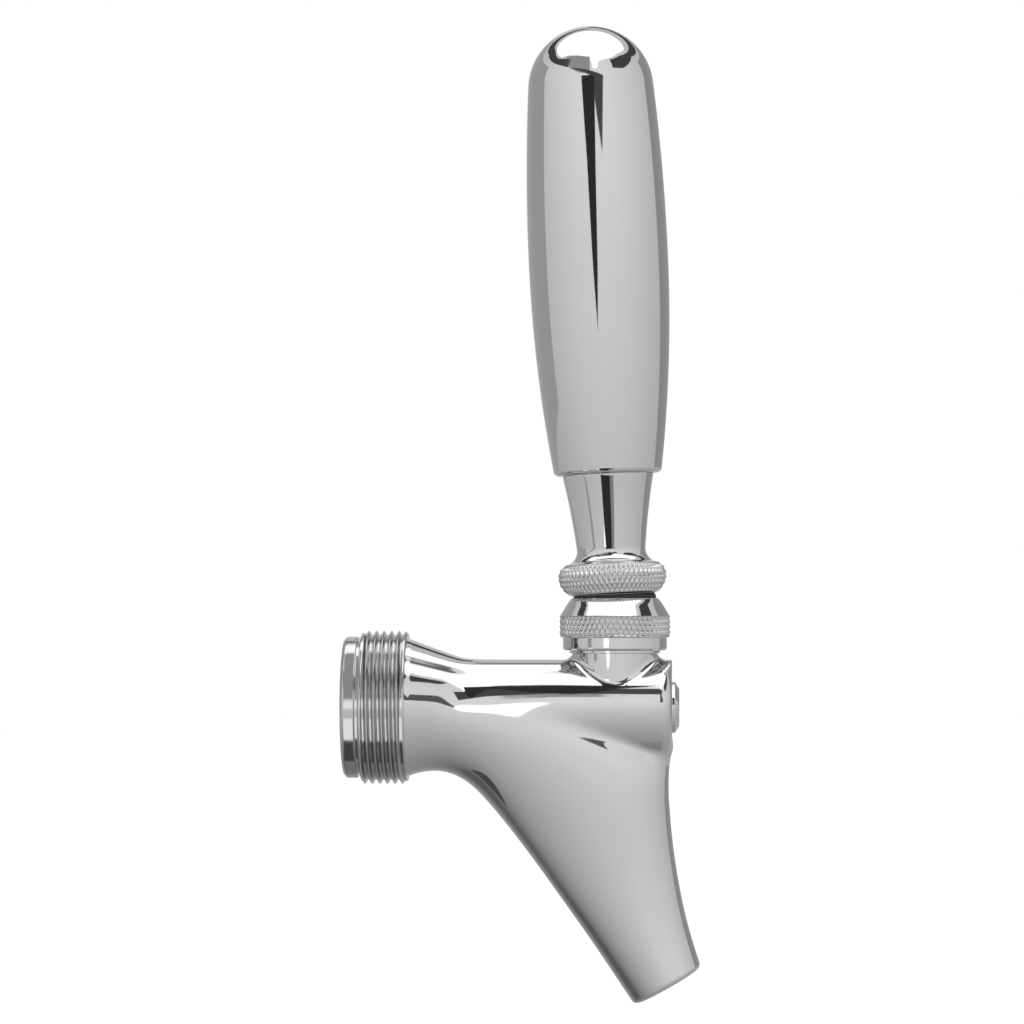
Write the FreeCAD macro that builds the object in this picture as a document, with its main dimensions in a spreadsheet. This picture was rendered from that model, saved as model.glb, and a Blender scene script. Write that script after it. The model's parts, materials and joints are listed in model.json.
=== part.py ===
import FreeCAD, Part

import math
import os

import Sketcher
from FreeCAD import Vector

# A tap for drawn beer: body with spout, ball lever, bonnet, tap handle and the valve inside.
# Origin at the centre of the rear face, +X towards the drinker, +Z up, millimetres.

doc = FreeCAD.newDocument("beverage_faucet")
sheet = doc.addObject("Spreadsheet::Sheet", "Sizes")

DRIVING_SIZES = {
    # Rear end: lip, thread for the shank's nut, and the socket that takes the shank's nose.
    "lip_radius": 13.2,
    "lip_length": 2.6,
    "lip_chamfer": 0.6,
    "undercut_radius": 12.6,
    "undercut_width": 0.7,
    "thread_radius": 14.2875,
    "thread_length": 8.6,
    "thread_chamfer": 0.5,
    "socket_radius": 11.2,
    "socket_depth": 2.2,
    "gasket_step": 0.3,
    "gasket_band": 1.8,
    "gasket_thickness": 2.2,
    # Neck and barrel, both on the shank's axis.
    "neck_radius": 12.85,
    "neck_slope": 20.4,
    "neck_round": 14.0,
    "barrel_radius": 8.9,
    "barrel_nose": 10.65,
    "barrel_edge": 2.1,
    # Boss that carries the lever.
    "boss_place": 50.55,
    "boss_radius": 7.7,
    "boss_blend": 2.0,
    "boss_passage_radius": 5.4,
    "boss_passage_foot": 1.0,
    "bead_radius": 8.4,
    "bead_height": 10.1,
    "bead_width": 0.55,
    "boss_thread_radius": 8.2,
    "boss_thread_length": 3.75,
    "boss_thread_chamfer": 0.4,
    "cup_radius": 7.0,
    "cup_depth": 3.4,
    # Ball lever, which pivots about the ball's centre.
    "pivot_drop": 0.4,
    "ball_radius": 6.0,
    "ball_clearance": 0.05,
    "lever_lean": 2.5,
    "lever_throw": 18.0,
    "stem_radius": 3.4,
    "stem_clearance": 0.25,
    "stud_radius": 4.75,
    "stud_foot": 11.5,
    "stud_length": 32.0,
    "stud_chamfer": 0.7,
    "tip_reach": 14.0,
    "tip_radius": 2.0,
    "tip_shank_radius": 1.6,
    "tip_root_radius": 2.6,
    "tip_clearance": 0.1,
    # Compression bonnet and the rings in it.
    "bonnet_band_radius": 9.7,
    "bonnet_band_height": 2.4,
    "bonnet_chamfer": 0.3,
    "knurl_radius": 10.35,
    "knurl_height": 3.95,
    "dome_radius": 10.5,
    "bonnet_height": 9.75,
    "bonnet_edge": 0.35,
    "bonnet_lip": 2.1,
    "bonnet_mouth_radius": 7.25,
    "bonnet_bore_radius": 8.0,
    "bonnet_thread_room": 0.2,
    "ring_clearance": 0.05,
    "friction_cup_height": 2.9,
    "seat_cup_gap": 0.2,
    "dust_ring_radius": 7.7,
    "dust_ring_height": 0.7,
    "dust_ring_spigot": 1.2,
    # Lever collar, turned about the lever.
    "collar_clearance": 0.14,
    "collar_rim": 7.15,
    "collar_belly_height": 10.5,
    "collar_belly_radius": 10.16,
    "collar_lower_round": 3.7,
    "collar_upper_round": 2.6,
    "collar_shoulder": 2.35,
    "collar_waist_round": 2.6,
    "collar_waist_height": 15.7,
    "collar_waist_radius": 6.41,
    "collar_flare": 150.0,
    "collar_top_radius": 8.5,
    # Tap handle and its threaded insert.
    "handle_foot": 29.5,
    "handle_foot_radius": 10.15,
    "handle_foot_round": 1.0,
    "handle_lower_round": 270.0,
    "handle_belly_rise": 41.0,
    "handle_belly_radius": 13.07,
    "handle_upper_round": 385.0,
    "handle_length": 84.1,
    "insert_radius": 7.0,
    "insert_length": 20.0,
    "insert_point": 2.0,
    # Valve seat and the passages from it to the spout.
    "chamber_radius": 9.0,
    "chamber_length": 6.1,
    "seat_radius": 5.0,
    "seat_land": 3.0,
    "throat_radius": 6.6,
    "throat_lead": 1.0,
    "throat_length": 9.5,
    "spout_bore_radius": 4.9,
    "spout_bore_length": 14.0,
    "passage_radius": 5.6,
    # Valve shaft and what is on it.
    "valve_gap": 0.05,
    "stub_radius": 2.5,
    "stub_length": 5.75,
    "flange_radius": 4.2,
    "flange_width": 1.0,
    "rod_radius": 3.0,
    "head_radius": 4.0,
    "head_start": 13.55,
    "head_end": 5.95,
    "head_clearance": 0.05,
    "head_flat": 1.2,
    "head_flat_length": 7.4,
    "slot_floor": 2.8,
    "slot_side_room": 0.3,
    "bush_wall": 0.95,
    "bush_length": 6.2,
    "bush_gap": 0.15,
    "cord_radius": 0.68,
    "cord_groove_room": 0.1,
    "cord_inset": 1.0,
    "seat_washer_radius": 6.4,
    "seat_washer_width": 2.3,
    "cup_wall": 0.5,
    "cup_rim": 0.9,
    "nut_across": 8.0,
    "nut_width": 2.2,
    # Plug that closes the barrel's front.
    "plug_depth": 2.4,
    "plug_head_radius": 4.76,
    "plug_head_width": 0.55,
    "plug_face_radius": 3.5,
    "plug_cone_width": 0.8,
    # Spout sections: centre from the thread's end and from the shank's axis, tilt of the long axis,
    # half length and half width.
    "spout_start": 0.7,
    "spout_inset": 0.1,
    "bend_x": 7.45, "bend_z": -1.6, "bend_tilt": 79.8, "bend_reach": 10.46, "bend_width": 10.3,
    "web_x": 20.8, "web_z": -4.75, "web_tilt": 57.3, "web_reach": 13.49, "web_width": 9.5,
    "upper_x": 34.75, "upper_z": -17.84, "upper_tilt": 37.0, "upper_reach": 15.34, "upper_width": 8.7,
    "middle_x": 38.73, "middle_z": -28.85, "middle_tilt": 30.8, "middle_reach": 12.14, "middle_width": 7.9,
    "lower_x": 44.2, "lower_z": -43.16, "lower_tilt": 22.45, "lower_reach": 8.55, "lower_width": 7.3,
    "outlet_x": 48.45, "outlet_z": -51.8, "outlet_tilt": 29.5, "outlet_radius": 7.1, "outlet_round": 0.9,
}

for row, (alias, value) in enumerate(DRIVING_SIZES.items(), start=1):
    sheet.set(f"A{row}", alias)
    sheet.set(f"B{row}", str(value))
    sheet.setAlias(f"B{row}", alias)
doc.recompute()


class Size:
    """A length or angle that carries its number and the sheet formula that gives it."""

    def __init__(self, value, formula=None):
        self.value = value
        self.formula = formula or repr(value)

    def __add__(self, other):
        other = as_size(other)
        return Size(self.value + other.value, f"({self.formula} + {other.formula})")

    def __sub__(self, other):
        other = as_size(other)
        return Size(self.value - other.value, f"({self.formula} - {other.formula})")

    def __mul__(self, other):
        other = as_size(other)
        return Size(self.value * other.value, f"({self.formula} * {other.formula})")

    def __truediv__(self, other):
        other = as_size(other)
        return Size(self.value / other.value, f"({self.formula} / {other.formula})")

    def __neg__(self):
        return Size(-self.value, f"(0 - {self.formula})")


def as_size(number):
    """A plain number as a Size, and a Size as it is."""
    return number if isinstance(number, Size) else Size(float(number))


def sine(angle):
    return Size(math.sin(math.radians(angle.value)), f"sin({angle.formula})")


def cosine(angle):
    return Size(math.cos(math.radians(angle.value)), f"cos({angle.formula})")


def tangent(angle):
    return Size(math.tan(math.radians(angle.value)), f"tan({angle.formula})")


def leg(hypotenuse, side):
    """The other short side of a right triangle: how wide a ball is at that height."""
    squares = hypotenuse * hypotenuse - side * side
    return Size(math.sqrt(squares.value), f"sqrt({squares.formula})")


size = {alias: Size(value, f"Sizes.{alias}") for alias, value in DRIVING_SIZES.items()}
ZERO = as_size(0.0)
CLEAR_OF = as_size(2.0)


def origin_plane(body, role):
    """One of the body's own origin planes, found by its role."""
    return next(item for item in body.Origin.OriginFeatures if item.Role == role)


def place(thing, x=ZERO, y=ZERO, z=ZERO, turn=ZERO):
    """Bind a thing's placement: moved to x, y, z and turned about +Y."""
    move = f"create(<<vector>>; {x.formula}; {y.formula}; {z.formula})"
    spin = f"create(<<rotation>>; create(<<vector>>; 0; 1; 0); {turn.formula})"
    thing.setExpression(".Placement", f"create(<<placement>>; {move}; {spin})")


def flat(corner):
    """A corner's numbers as a point of the sketch plane."""
    return Vector(corner[0].value, corner[1].value, 0)


def arc_edge(start, end, radius):
    """The short arc from start to end, with its centre on the left if the radius is positive."""
    first, last = flat(start), flat(end)
    chord = last - first
    reach = abs(radius.value)
    inward = math.sqrt(reach**2 - (chord.Length / 2) ** 2)
    left = Vector(-chord.y, chord.x, 0).normalize()
    centre = (first + last) / 2 + left * math.copysign(inward, radius.value)
    turns = [math.atan2(point.y - centre.y, point.x - centre.x) for point in (first, last)]
    if radius.value < 0:
        turns.reverse()
    return Part.ArcOfCircle(Part.Circle(centre, Vector(0, 0, 1), reach), *turns)


def outline(body, name, corners, rounds):
    """
    A closed outline on the body's XZ plane, each corner bound to the sheet.
    rounds gives the edge that starts at a corner a radius: positive turns left, negative right.
    """
    sketch = body.newObject("Sketcher::SketchObject", name)
    sketch.AttachmentSupport = (origin_plane(body, "XZ_Plane"), "")
    sketch.MapMode = "FlatFace"
    edges = []
    for index, start in enumerate(corners):
        end = corners[(index + 1) % len(corners)]
        straight = Part.LineSegment(flat(start), flat(end))
        edges.append(arc_edge(start, end, rounds[index]) if index in rounds else straight)
    sketch.addGeometry(edges, False)

    def which_end(index, is_last):
        """An arc that turns right is stored from its last corner to its first."""
        stored_backwards = index in rounds and rounds[index].value < 0
        return 2 if is_last != stored_backwards else 1

    for index, corner in enumerate(corners):
        following = (index + 1) % len(corners)
        meeting = (index, which_end(index, True), following, which_end(following, False))
        sketch.addConstraint(Sketcher.Constraint("Coincident", *meeting))
        at = (index, which_end(index, False))
        for kind, distance, axis in (("DistanceX", corner[0], -2), ("DistanceY", corner[1], -1)):
            if distance is ZERO:
                sketch.addConstraint(Sketcher.Constraint("PointOnObject", *at, axis))
                continue
            number = sketch.addConstraint(Sketcher.Constraint(kind, -1, 1, *at, distance.value))
            sketch.setExpression(f"Constraints[{number}]", distance.formula)
    for index, radius in rounds.items():
        number = sketch.addConstraint(Sketcher.Constraint("Radius", index, abs(radius.value)))
        length = radius if radius.value > 0 else -radius
        sketch.setExpression(f"Constraints[{number}]", length.formula)
    return sketch


def turned(name, axis, corners, rounds=None):
    """A body turned on a lathe: an outline revolved about the sketch's V_Axis or H_Axis."""
    body = doc.addObject("PartDesign::Body", name)
    sketch = outline(body, f"{name}_outline", corners, rounds or {})
    turning = body.newObject("PartDesign::Revolution", f"{name}_turning")
    turning.Profile = sketch
    turning.ReferenceAxis = (sketch, [axis])
    turning.Angle = 360
    return body


def ring(name, axis, inner, outer, start, end):
    """A plain ring between two radii, from start to end along its axis."""
    corners = [(start, inner), (start, outer), (end, outer), (end, inner)]
    if axis == "V_Axis":
        corners = [(radius, height) for height, radius in corners]
    return turned(name, axis, corners)


def primitive(kind, name, **dimensions):
    """A Part primitive with its dimensions bound to the sheet."""
    thing = doc.addObject(f"Part::{kind}", name)
    for dimension, length in dimensions.items():
        thing.setExpression(dimension, length.formula)
    return thing


def fused(name, things):
    fuse = doc.addObject("Part::MultiFuse", name)
    fuse.Shapes = things
    return fuse


def cut(name, base, tool):
    result = doc.addObject("Part::Cut", name)
    result.Base = base
    result.Tool = tool
    return result


# Places along the shank's axis, from the rear face forwards.
thread_start = size["lip_length"] + size["undercut_width"]
thread_end = thread_start + size["thread_length"]
barrel_front = size["boss_place"] + size["barrel_nose"]
gasket_end = size["socket_depth"] + size["gasket_thickness"]
gasket_radius = size["socket_radius"] - size["gasket_step"]
seat_face = gasket_end + size["chamber_length"]
bush_radius = size["head_radius"] + size["head_clearance"] + size["bush_wall"]
bush_end = size["boss_place"] - size["boss_passage_radius"] - size["bush_gap"]
bush_start = bush_end - size["bush_length"]

# Heights over the shank's axis.
bead_top = size["bead_height"] + size["bead_width"]
boss_top = bead_top + size["boss_thread_length"]
pivot_height = boss_top - size["pivot_drop"]
cup_floor = boss_top - size["cup_depth"]
bonnet_top = bead_top + size["bonnet_height"]
bonnet_lip_foot = bonnet_top - size["bonnet_lip"]
cup_ball_radius = size["ball_radius"] + size["ball_clearance"]
forward_lean = size["lever_throw"] - size["lever_lean"]


def barrel_form():
    """Lip, thread blank, neck and barrel: one turning about the shank's axis."""
    lip, chamfer = size["lip_radius"], size["lip_chamfer"]
    thread, lead = size["thread_radius"], size["thread_chamfer"]
    barrel, edge = size["barrel_radius"], size["barrel_edge"]
    slope = size["neck_slope"]
    meeting = thread_end + (size["neck_radius"] - barrel) / tangent(slope)
    reach = size["neck_round"] * tangent(slope / 2)
    corners = [
        (ZERO, ZERO),
        (ZERO, lip - chamfer),
        (chamfer, lip),
        (size["lip_length"], lip),
        (size["lip_length"], size["undercut_radius"]),
        (thread_start, size["undercut_radius"]),
        (thread_start, thread - lead),
        (thread_start + lead, thread),
        (thread_end - lead, thread),
        (thread_end, thread - lead),
        (thread_end, size["neck_radius"]),
        (meeting - reach * cosine(slope), barrel + reach * sine(slope)),
        (meeting + reach, barrel),
        (barrel_front - edge, barrel),
        (barrel_front, barrel - edge),
        (barrel_front, ZERO),
    ]
    return turned("barrel_form", "H_Axis", corners, {11: size["neck_round"], 13: -edge})


def spout_form():
    """The bent, tapering spout: a loft from the neck's circle through ovals to the round tip."""
    start = thread_end + size["spout_start"]
    start_radius = size["neck_radius"] - size["spout_start"] * tangent(size["neck_slope"])
    start_radius = start_radius - size["spout_inset"]
    circle = primitive("Ellipse", "neck_section", MajorRadius=start_radius, MinorRadius=start_radius)
    place(circle, x=start, turn=as_size(-90.0))
    sections = [circle]
    for name in ("bend", "web", "upper", "middle", "lower"):
        reach, width = size[f"{name}_reach"], size[f"{name}_width"]
        oval = primitive("Ellipse", f"{name}_section", MajorRadius=reach, MinorRadius=width)
        place(oval, x=thread_end + size[f"{name}_x"], z=size[f"{name}_z"], turn=-size[f"{name}_tilt"])
        sections.append(oval)
    radius = size["outlet_radius"]
    outlet = primitive("Ellipse", "outlet_section", MajorRadius=radius, MinorRadius=radius)
    tilt = size["outlet_tilt"]
    place(outlet, x=thread_end + size["outlet_x"], z=size["outlet_z"], turn=-tilt)
    loft = doc.addObject("Part::Loft", "spout_loft")
    loft.Sections = [*sections, outlet]
    loft.Solid = True
    doc.recompute()
    down = Vector(sine(tilt).value, 0, -cosine(tilt).value)
    rim_edges = [
        number for number, edge in enumerate(loft.Shape.Edges, start=1)
        if abs((edge.BoundBox.Center - outlet.Placement.Base).dot(down)) < 0.1
        and abs(edge.Length - 2 * math.pi * radius.value) < 0.1
    ]
    rounded = doc.addObject("Part::Fillet", "spout_form")
    rounded.Base = loft
    rim = size["outlet_round"].value
    rounded.Edges = [(number, rim, rim) for number in rim_edges]
    return rounded


def blended_boss(barrel):
    """The boss's foot on the barrel, with a blend all round where they meet."""
    neck = primitive("Cylinder", "boss_neck", Radius=size["boss_radius"], Height=boss_top)
    place(neck, x=size["boss_place"])
    joined = fused("barrel_and_boss", [barrel, neck])
    doc.recompute()
    centre = size["boss_place"].value
    meeting_edges = []
    for number, edge in enumerate(joined.Shape.Edges, start=1):
        first, last = edge.ParameterRange
        points = [edge.valueAt(first + (last - first) * share) for share in (0.1, 0.5, 0.9)]
        on_boss = all(abs(math.hypot(p.x - centre, p.y) - neck.Radius.Value) < 1e-3 for p in points)
        on_barrel = all(abs(math.hypot(p.y, p.z) - size["barrel_radius"].value) < 1e-3 for p in points)
        if on_boss and on_barrel:
            meeting_edges.append(number)
    blend = doc.addObject("Part::Fillet", "boss_and_barrel")
    blend.Base = joined
    radius = size["boss_blend"].value
    blend.Edges = [(number, radius, radius) for number in meeting_edges]
    return blend


def boss_collar():
    """The bead under the bonnet and the boss's thread blank above it."""
    thread, chamfer = size["boss_thread_radius"], size["boss_thread_chamfer"]
    corners = [
        (ZERO, size["bead_height"]),
        (size["bead_radius"], size["bead_height"]),
        (size["bead_radius"], bead_top),
        (thread, bead_top),
        (thread, boss_top - chamfer),
        (thread - chamfer, boss_top),
        (ZERO, boss_top),
    ]
    collar = turned("boss_collar", "V_Axis", corners)
    place(collar, x=size["boss_place"])
    return collar


def rear_bore():
    """Socket, gasket recess, valve chamber, seat and throat, in one turned cutter."""
    land_end = seat_face + size["seat_land"]
    throat_end = land_end + size["throat_lead"] + size["throat_length"]
    corners = [
        (-CLEAR_OF, ZERO),
        (-CLEAR_OF, size["socket_radius"]),
        (size["socket_depth"], size["socket_radius"]),
        (size["socket_depth"], gasket_radius),
        (gasket_end, gasket_radius),
        (gasket_end, size["chamber_radius"]),
        (seat_face, size["chamber_radius"]),
        (seat_face, size["seat_radius"]),
        (land_end, size["seat_radius"]),
        (land_end + size["throat_lead"], size["throat_radius"]),
        (throat_end, size["throat_radius"]),
        (throat_end, ZERO),
    ]
    return turned("rear_bore", "H_Axis", corners)


def barrel_bore():
    """The bore from the front face to the throat, for shaft, bush and plug."""
    start = seat_face + size["seat_land"]
    bore = primitive("Cylinder", "barrel_bore", Radius=bush_radius, Height=barrel_front + CLEAR_OF - start)
    place(bore, x=start, turn=as_size(90.0))
    return bore


def boss_bore():
    """The cup for the ball's seat and the passage for the lever's tip."""
    corners = [
        (ZERO, size["boss_passage_foot"]),
        (size["boss_passage_radius"], size["boss_passage_foot"]),
        (size["boss_passage_radius"], cup_floor),
        (size["cup_radius"], cup_floor),
        (size["cup_radius"], boss_top + CLEAR_OF),
        (ZERO, boss_top + CLEAR_OF),
    ]
    bore = turned("boss_bore", "V_Axis", corners)
    place(bore, x=size["boss_place"])
    return bore


def spout_bore():
    """A straight outlet bore, then a passage that widens up to the shank's axis."""
    tilt = size["outlet_tilt"]
    outlet_x, outlet_z = thread_end + size["outlet_x"], size["outlet_z"]
    narrow, wide = size["spout_bore_radius"], size["passage_radius"]
    along = size["spout_bore_length"]
    outlet = primitive("Cylinder", "outlet_bore", Radius=narrow, Height=along + CLEAR_OF)
    place(outlet, x=outlet_x + CLEAR_OF * sine(tilt), z=outlet_z - CLEAR_OF * cosine(tilt), turn=-tilt)
    rise = -outlet_z / cosine(tilt) - along
    passage = primitive("Cone", "spout_passage", Radius1=narrow, Radius2=wide, Height=rise)
    place(passage, x=outlet_x - along * sine(tilt), z=outlet_z + along * cosine(tilt), turn=-tilt)
    return [outlet, passage]


def faucet_body():
    outside = fused("outside", [blended_boss(barrel_form()), spout_form(), boss_collar()])
    inside = fused("inside", [rear_bore(), barrel_bore(), boss_bore(), *spout_bore()])
    return cut("faucet_body", outside, inside)


def front_plug():
    """Pressed into the barrel's front, with a bevelled head standing out."""
    head_end = barrel_front + size["plug_head_width"]
    face = head_end + size["plug_cone_width"]
    corners = [
        (barrel_front - size["plug_depth"], ZERO),
        (barrel_front - size["plug_depth"], bush_radius),
        (barrel_front, bush_radius),
        (barrel_front, size["plug_head_radius"]),
        (head_end, size["plug_head_radius"]),
        (face, size["plug_face_radius"]),
        (face, ZERO),
    ]
    return turned("front_plug", "H_Axis", corners)


def coupling_gasket():
    """The rubber ring that the shank's nose is drawn against."""
    inner = gasket_radius - size["gasket_band"]
    return ring("coupling_gasket", "H_Axis", inner, gasket_radius, size["socket_depth"], gasket_end)


def compression_bonnet():
    """Screwed over the boss: plain band, knurled band, and a dome round the lever's pivot."""
    band, knurl, chamfer = size["bonnet_band_radius"], size["knurl_radius"], size["bonnet_chamfer"]
    dome, edge = size["dome_radius"], size["bonnet_edge"]
    band_top = bead_top + size["bonnet_band_height"]
    knurl_top = band_top + size["knurl_height"]
    edge_foot = bonnet_top - edge
    edge_radius = leg(dome, edge_foot - pivot_height)
    thread_top = boss_top + size["bonnet_thread_room"]
    corners = [
        (size["boss_thread_radius"], bead_top),
        (band - chamfer, bead_top),
        (band, bead_top + chamfer),
        (band, band_top),
        (knurl - chamfer, band_top),
        (knurl, band_top + chamfer),
        (knurl, knurl_top - chamfer),
        (leg(dome, knurl_top - pivot_height), knurl_top),
        (edge_radius, edge_foot),
        (edge_radius - edge, bonnet_top),
        (size["bonnet_mouth_radius"], bonnet_top),
        (size["bonnet_mouth_radius"], bonnet_lip_foot),
        (size["bonnet_bore_radius"], bonnet_lip_foot),
        (size["bonnet_bore_radius"], thread_top),
        (size["boss_thread_radius"], thread_top),
    ]
    bonnet = turned("compression_bonnet", "V_Axis", corners, {7: dome, 8: edge})
    place(bonnet, x=size["boss_place"])
    return bonnet


def ball_seat():
    """The plastic cup under the ball."""
    top = pivot_height - size["seat_cup_gap"]
    outer = size["cup_radius"] - size["ring_clearance"]
    corners = [
        (leg(cup_ball_radius, pivot_height - cup_floor), cup_floor),
        (outer, cup_floor),
        (outer, top),
        (leg(cup_ball_radius, size["seat_cup_gap"]), top),
    ]
    seat = turned("ball_seat", "V_Axis", corners, {3: -cup_ball_radius})
    place(seat, x=size["boss_place"])
    return seat


def friction_ring():
    """The plastic ring that the bonnet presses on the ball, so that the lever stays where it is put."""
    outer = size["bonnet_bore_radius"] - size["ring_clearance"]
    mouth = leg(cup_ball_radius, size["friction_cup_height"])
    corners = [
        (leg(cup_ball_radius, size["pivot_drop"]), boss_top),
        (outer, boss_top),
        (outer, bonnet_lip_foot),
        (mouth, bonnet_lip_foot),
        (mouth, pivot_height + size["friction_cup_height"]),
    ]
    friction = turned("friction_ring", "V_Axis", corners, {4: -cup_ball_radius})
    place(friction, x=size["boss_place"])
    return friction


def dust_ring():
    """The black rubber ring on the bonnet's mouth, wide enough inside for the lever's swing."""
    top = bonnet_top + size["dust_ring_height"]
    spigot_foot = bonnet_top - size["dust_ring_spigot"]
    spigot = size["bonnet_mouth_radius"] - size["ring_clearance"]
    swing = (top - pivot_height) * tangent(forward_lean)
    inner = size["stem_radius"] / cosine(forward_lean) + swing + size["stem_clearance"]
    corners = [
        (inner, spigot_foot),
        (spigot, spigot_foot),
        (spigot, bonnet_top),
        (size["dust_ring_radius"], bonnet_top),
        (size["dust_ring_radius"], top),
        (inner, top),
    ]
    dust = turned("dust_ring", "V_Axis", corners)
    place(dust, x=size["boss_place"])
    return dust


def on_lever(piece):
    """Heights on the lever are from the ball's centre, and the whole lever leans to the rear."""
    place(piece, x=size["boss_place"], z=pivot_height, turn=-size["lever_lean"])
    return piece


def lever():
    """Round tip, ball, stem and the threaded stud that takes collar and handle."""
    ball, tip, shank = size["ball_radius"], size["tip_radius"], size["tip_shank_radius"]
    root, stem, stud = size["tip_root_radius"], size["stem_radius"], size["stud_radius"]
    stud_top = size["stud_foot"] + size["stud_length"]
    chamfer = size["stud_chamfer"]
    corners = [
        (ZERO, -size["tip_reach"] - tip),
        (shank, leg(tip, shank) - size["tip_reach"]),
        (root, -leg(ball, root)),
        (stem, leg(ball, stem)),
        (stem, size["stud_foot"]),
        (stud, size["stud_foot"]),
        (stud, stud_top - chamfer),
        (stud - chamfer, stud_top),
        (ZERO, stud_top),
    ]
    return on_lever(turned("lever", "V_Axis", corners, {0: tip, 2: ball}))


def lever_collar():
    """Screwed on the stud: a knurled skirt that rides round the bonnet's dome, and a flared neck."""
    recess = size["dome_radius"] + size["collar_clearance"]
    rim, belly, belly_radius = size["collar_rim"], size["collar_belly_height"], size["collar_belly_radius"]
    lower, upper = size["collar_lower_round"], size["collar_upper_round"]
    stud = size["stud_radius"]
    corners = [
        (stud, leg(recess, stud)),
        (leg(recess, rim), rim),
        (belly_radius - lower + leg(lower, belly - rim), rim),
        (belly_radius, belly),
        (belly_radius - upper + leg(upper, size["collar_shoulder"]), belly + size["collar_shoulder"]),
        (size["collar_waist_radius"], size["collar_waist_height"]),
        (size["collar_top_radius"], size["handle_foot"]),
        (stud, size["handle_foot"]),
    ]
    rounds = {0: -recess, 2: lower, 3: upper, 4: -size["collar_waist_round"], 5: -size["collar_flare"]}
    return on_lever(turned("lever_collar", "V_Axis", corners, rounds))


def handle():
    """The tap handle: a slim barrel whose side runs into a dome without a crease."""
    foot, foot_radius, foot_round = size["handle_foot"], size["handle_foot_radius"], size["handle_foot_round"]
    belly, side = size["handle_belly_radius"], size["handle_upper_round"]
    belly_height = foot + size["handle_belly_rise"]
    rise = size["handle_length"] - size["handle_belly_rise"]
    inward = side - belly
    dome = (side * side - inward * inward - rise * rise) / ((side - rise) * 2)
    share = side - dome
    insert_top = foot + size["insert_length"]
    corners = [
        (size["insert_radius"], foot),
        (foot_radius - foot_round, foot),
        (foot_radius, foot + foot_round),
        (belly, belly_height),
        (inward * dome / share, belly_height + side * (rise - dome) / share),
        (ZERO, foot + size["handle_length"]),
        (ZERO, insert_top + size["insert_point"]),
        (size["insert_radius"], insert_top),
    ]
    rounds = {1: foot_round, 2: size["handle_lower_round"], 3: side, 4: dome}
    return on_lever(turned("handle", "V_Axis", corners, rounds))


def handle_insert():
    """The brass bush in the handle's foot, with the thread for the lever's stud."""
    foot = size["handle_foot"]
    top = foot + size["insert_length"]
    return on_lever(ring("handle_insert", "V_Axis", size["stud_radius"], size["insert_radius"], foot, top))


valve_face = seat_face - size["valve_gap"]
washer_back = valve_face - size["seat_washer_width"]
cup_back = washer_back - size["cup_wall"]
cord_place = bush_end - size["cord_inset"]


def valve_shaft():
    """Stub, flange, rod and a head that runs in the bush, with a flat and a slot for the lever's tip."""
    head, rod = size["head_radius"], size["rod_radius"]
    groove_half = size["cord_radius"] + size["cord_groove_room"]
    groove = head - size["cord_radius"] * 2
    head_start = bush_end - size["head_start"] + size["bush_length"]
    head_end = size["boss_place"] + size["head_end"]
    corners = [
        (valve_face - size["stub_length"], ZERO),
        (valve_face - size["stub_length"], size["stub_radius"]),
        (valve_face, size["stub_radius"]),
        (valve_face, size["flange_radius"]),
        (valve_face + size["flange_width"], size["flange_radius"]),
        (valve_face + size["flange_width"], rod),
        (head_start, rod),
        (head_start, head),
        (cord_place - groove_half, head),
        (cord_place - groove_half, groove),
        (cord_place + groove_half, groove),
        (cord_place + groove_half, head),
        (head_end, head),
        (head_end, ZERO),
    ]
    blank = turned("shaft_blank", "H_Axis", corners)
    slot_centre = size["boss_place"] + size["tip_reach"] * sine(size["lever_lean"])
    flat_length = size["head_flat_length"]
    milled = primitive("Box", "shaft_flat", Length=flat_length, Width=head * 2, Height=head)
    place(milled, x=slot_centre - flat_length / 2, y=-head, z=size["head_flat"])
    slot_length = (size["tip_radius"] + size["tip_clearance"]) * 2
    slot_width = (size["tip_radius"] + size["slot_side_room"]) * 2
    slot_height = head + size["slot_floor"]
    slot = primitive("Box", "shaft_slot", Length=slot_length, Width=slot_width, Height=slot_height)
    place(slot, x=slot_centre - slot_length / 2, y=-slot_width / 2, z=-size["slot_floor"])
    return cut("valve_shaft", blank, fused("shaft_cuts", [milled, slot]))


def shaft_bush():
    """The plain bearing that guides the shaft's head."""
    inner = size["head_radius"] + size["head_clearance"]
    return ring("shaft_bush", "H_Axis", inner, bush_radius, bush_start, bush_end)


def shaft_o_ring():
    """The rubber ring in the head's groove, which keeps beer out of the lever's space."""
    cord = size["cord_radius"]
    o_ring = primitive("Torus", "shaft_o_ring", Radius1=size["head_radius"] - cord, Radius2=cord)
    place(o_ring, x=cord_place, turn=as_size(90.0))
    return o_ring


def seat_washer():
    """The rubber washer that closes on the seat."""
    inner, outer = size["stub_radius"], size["seat_washer_radius"]
    return ring("seat_washer", "H_Axis", inner, outer, washer_back, valve_face)


def washer_cup():
    """The brass cup that holds the seat washer's back and edge."""
    outer = size["seat_washer_radius"] + size["cup_wall"]
    corners = [
        (cup_back, size["stub_radius"]),
        (cup_back, outer),
        (washer_back + size["cup_rim"], outer),
        (washer_back + size["cup_rim"], size["seat_washer_radius"]),
        (washer_back, size["seat_washer_radius"]),
        (washer_back, size["stub_radius"]),
    ]
    return turned("washer_cup", "H_Axis", corners)


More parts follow.
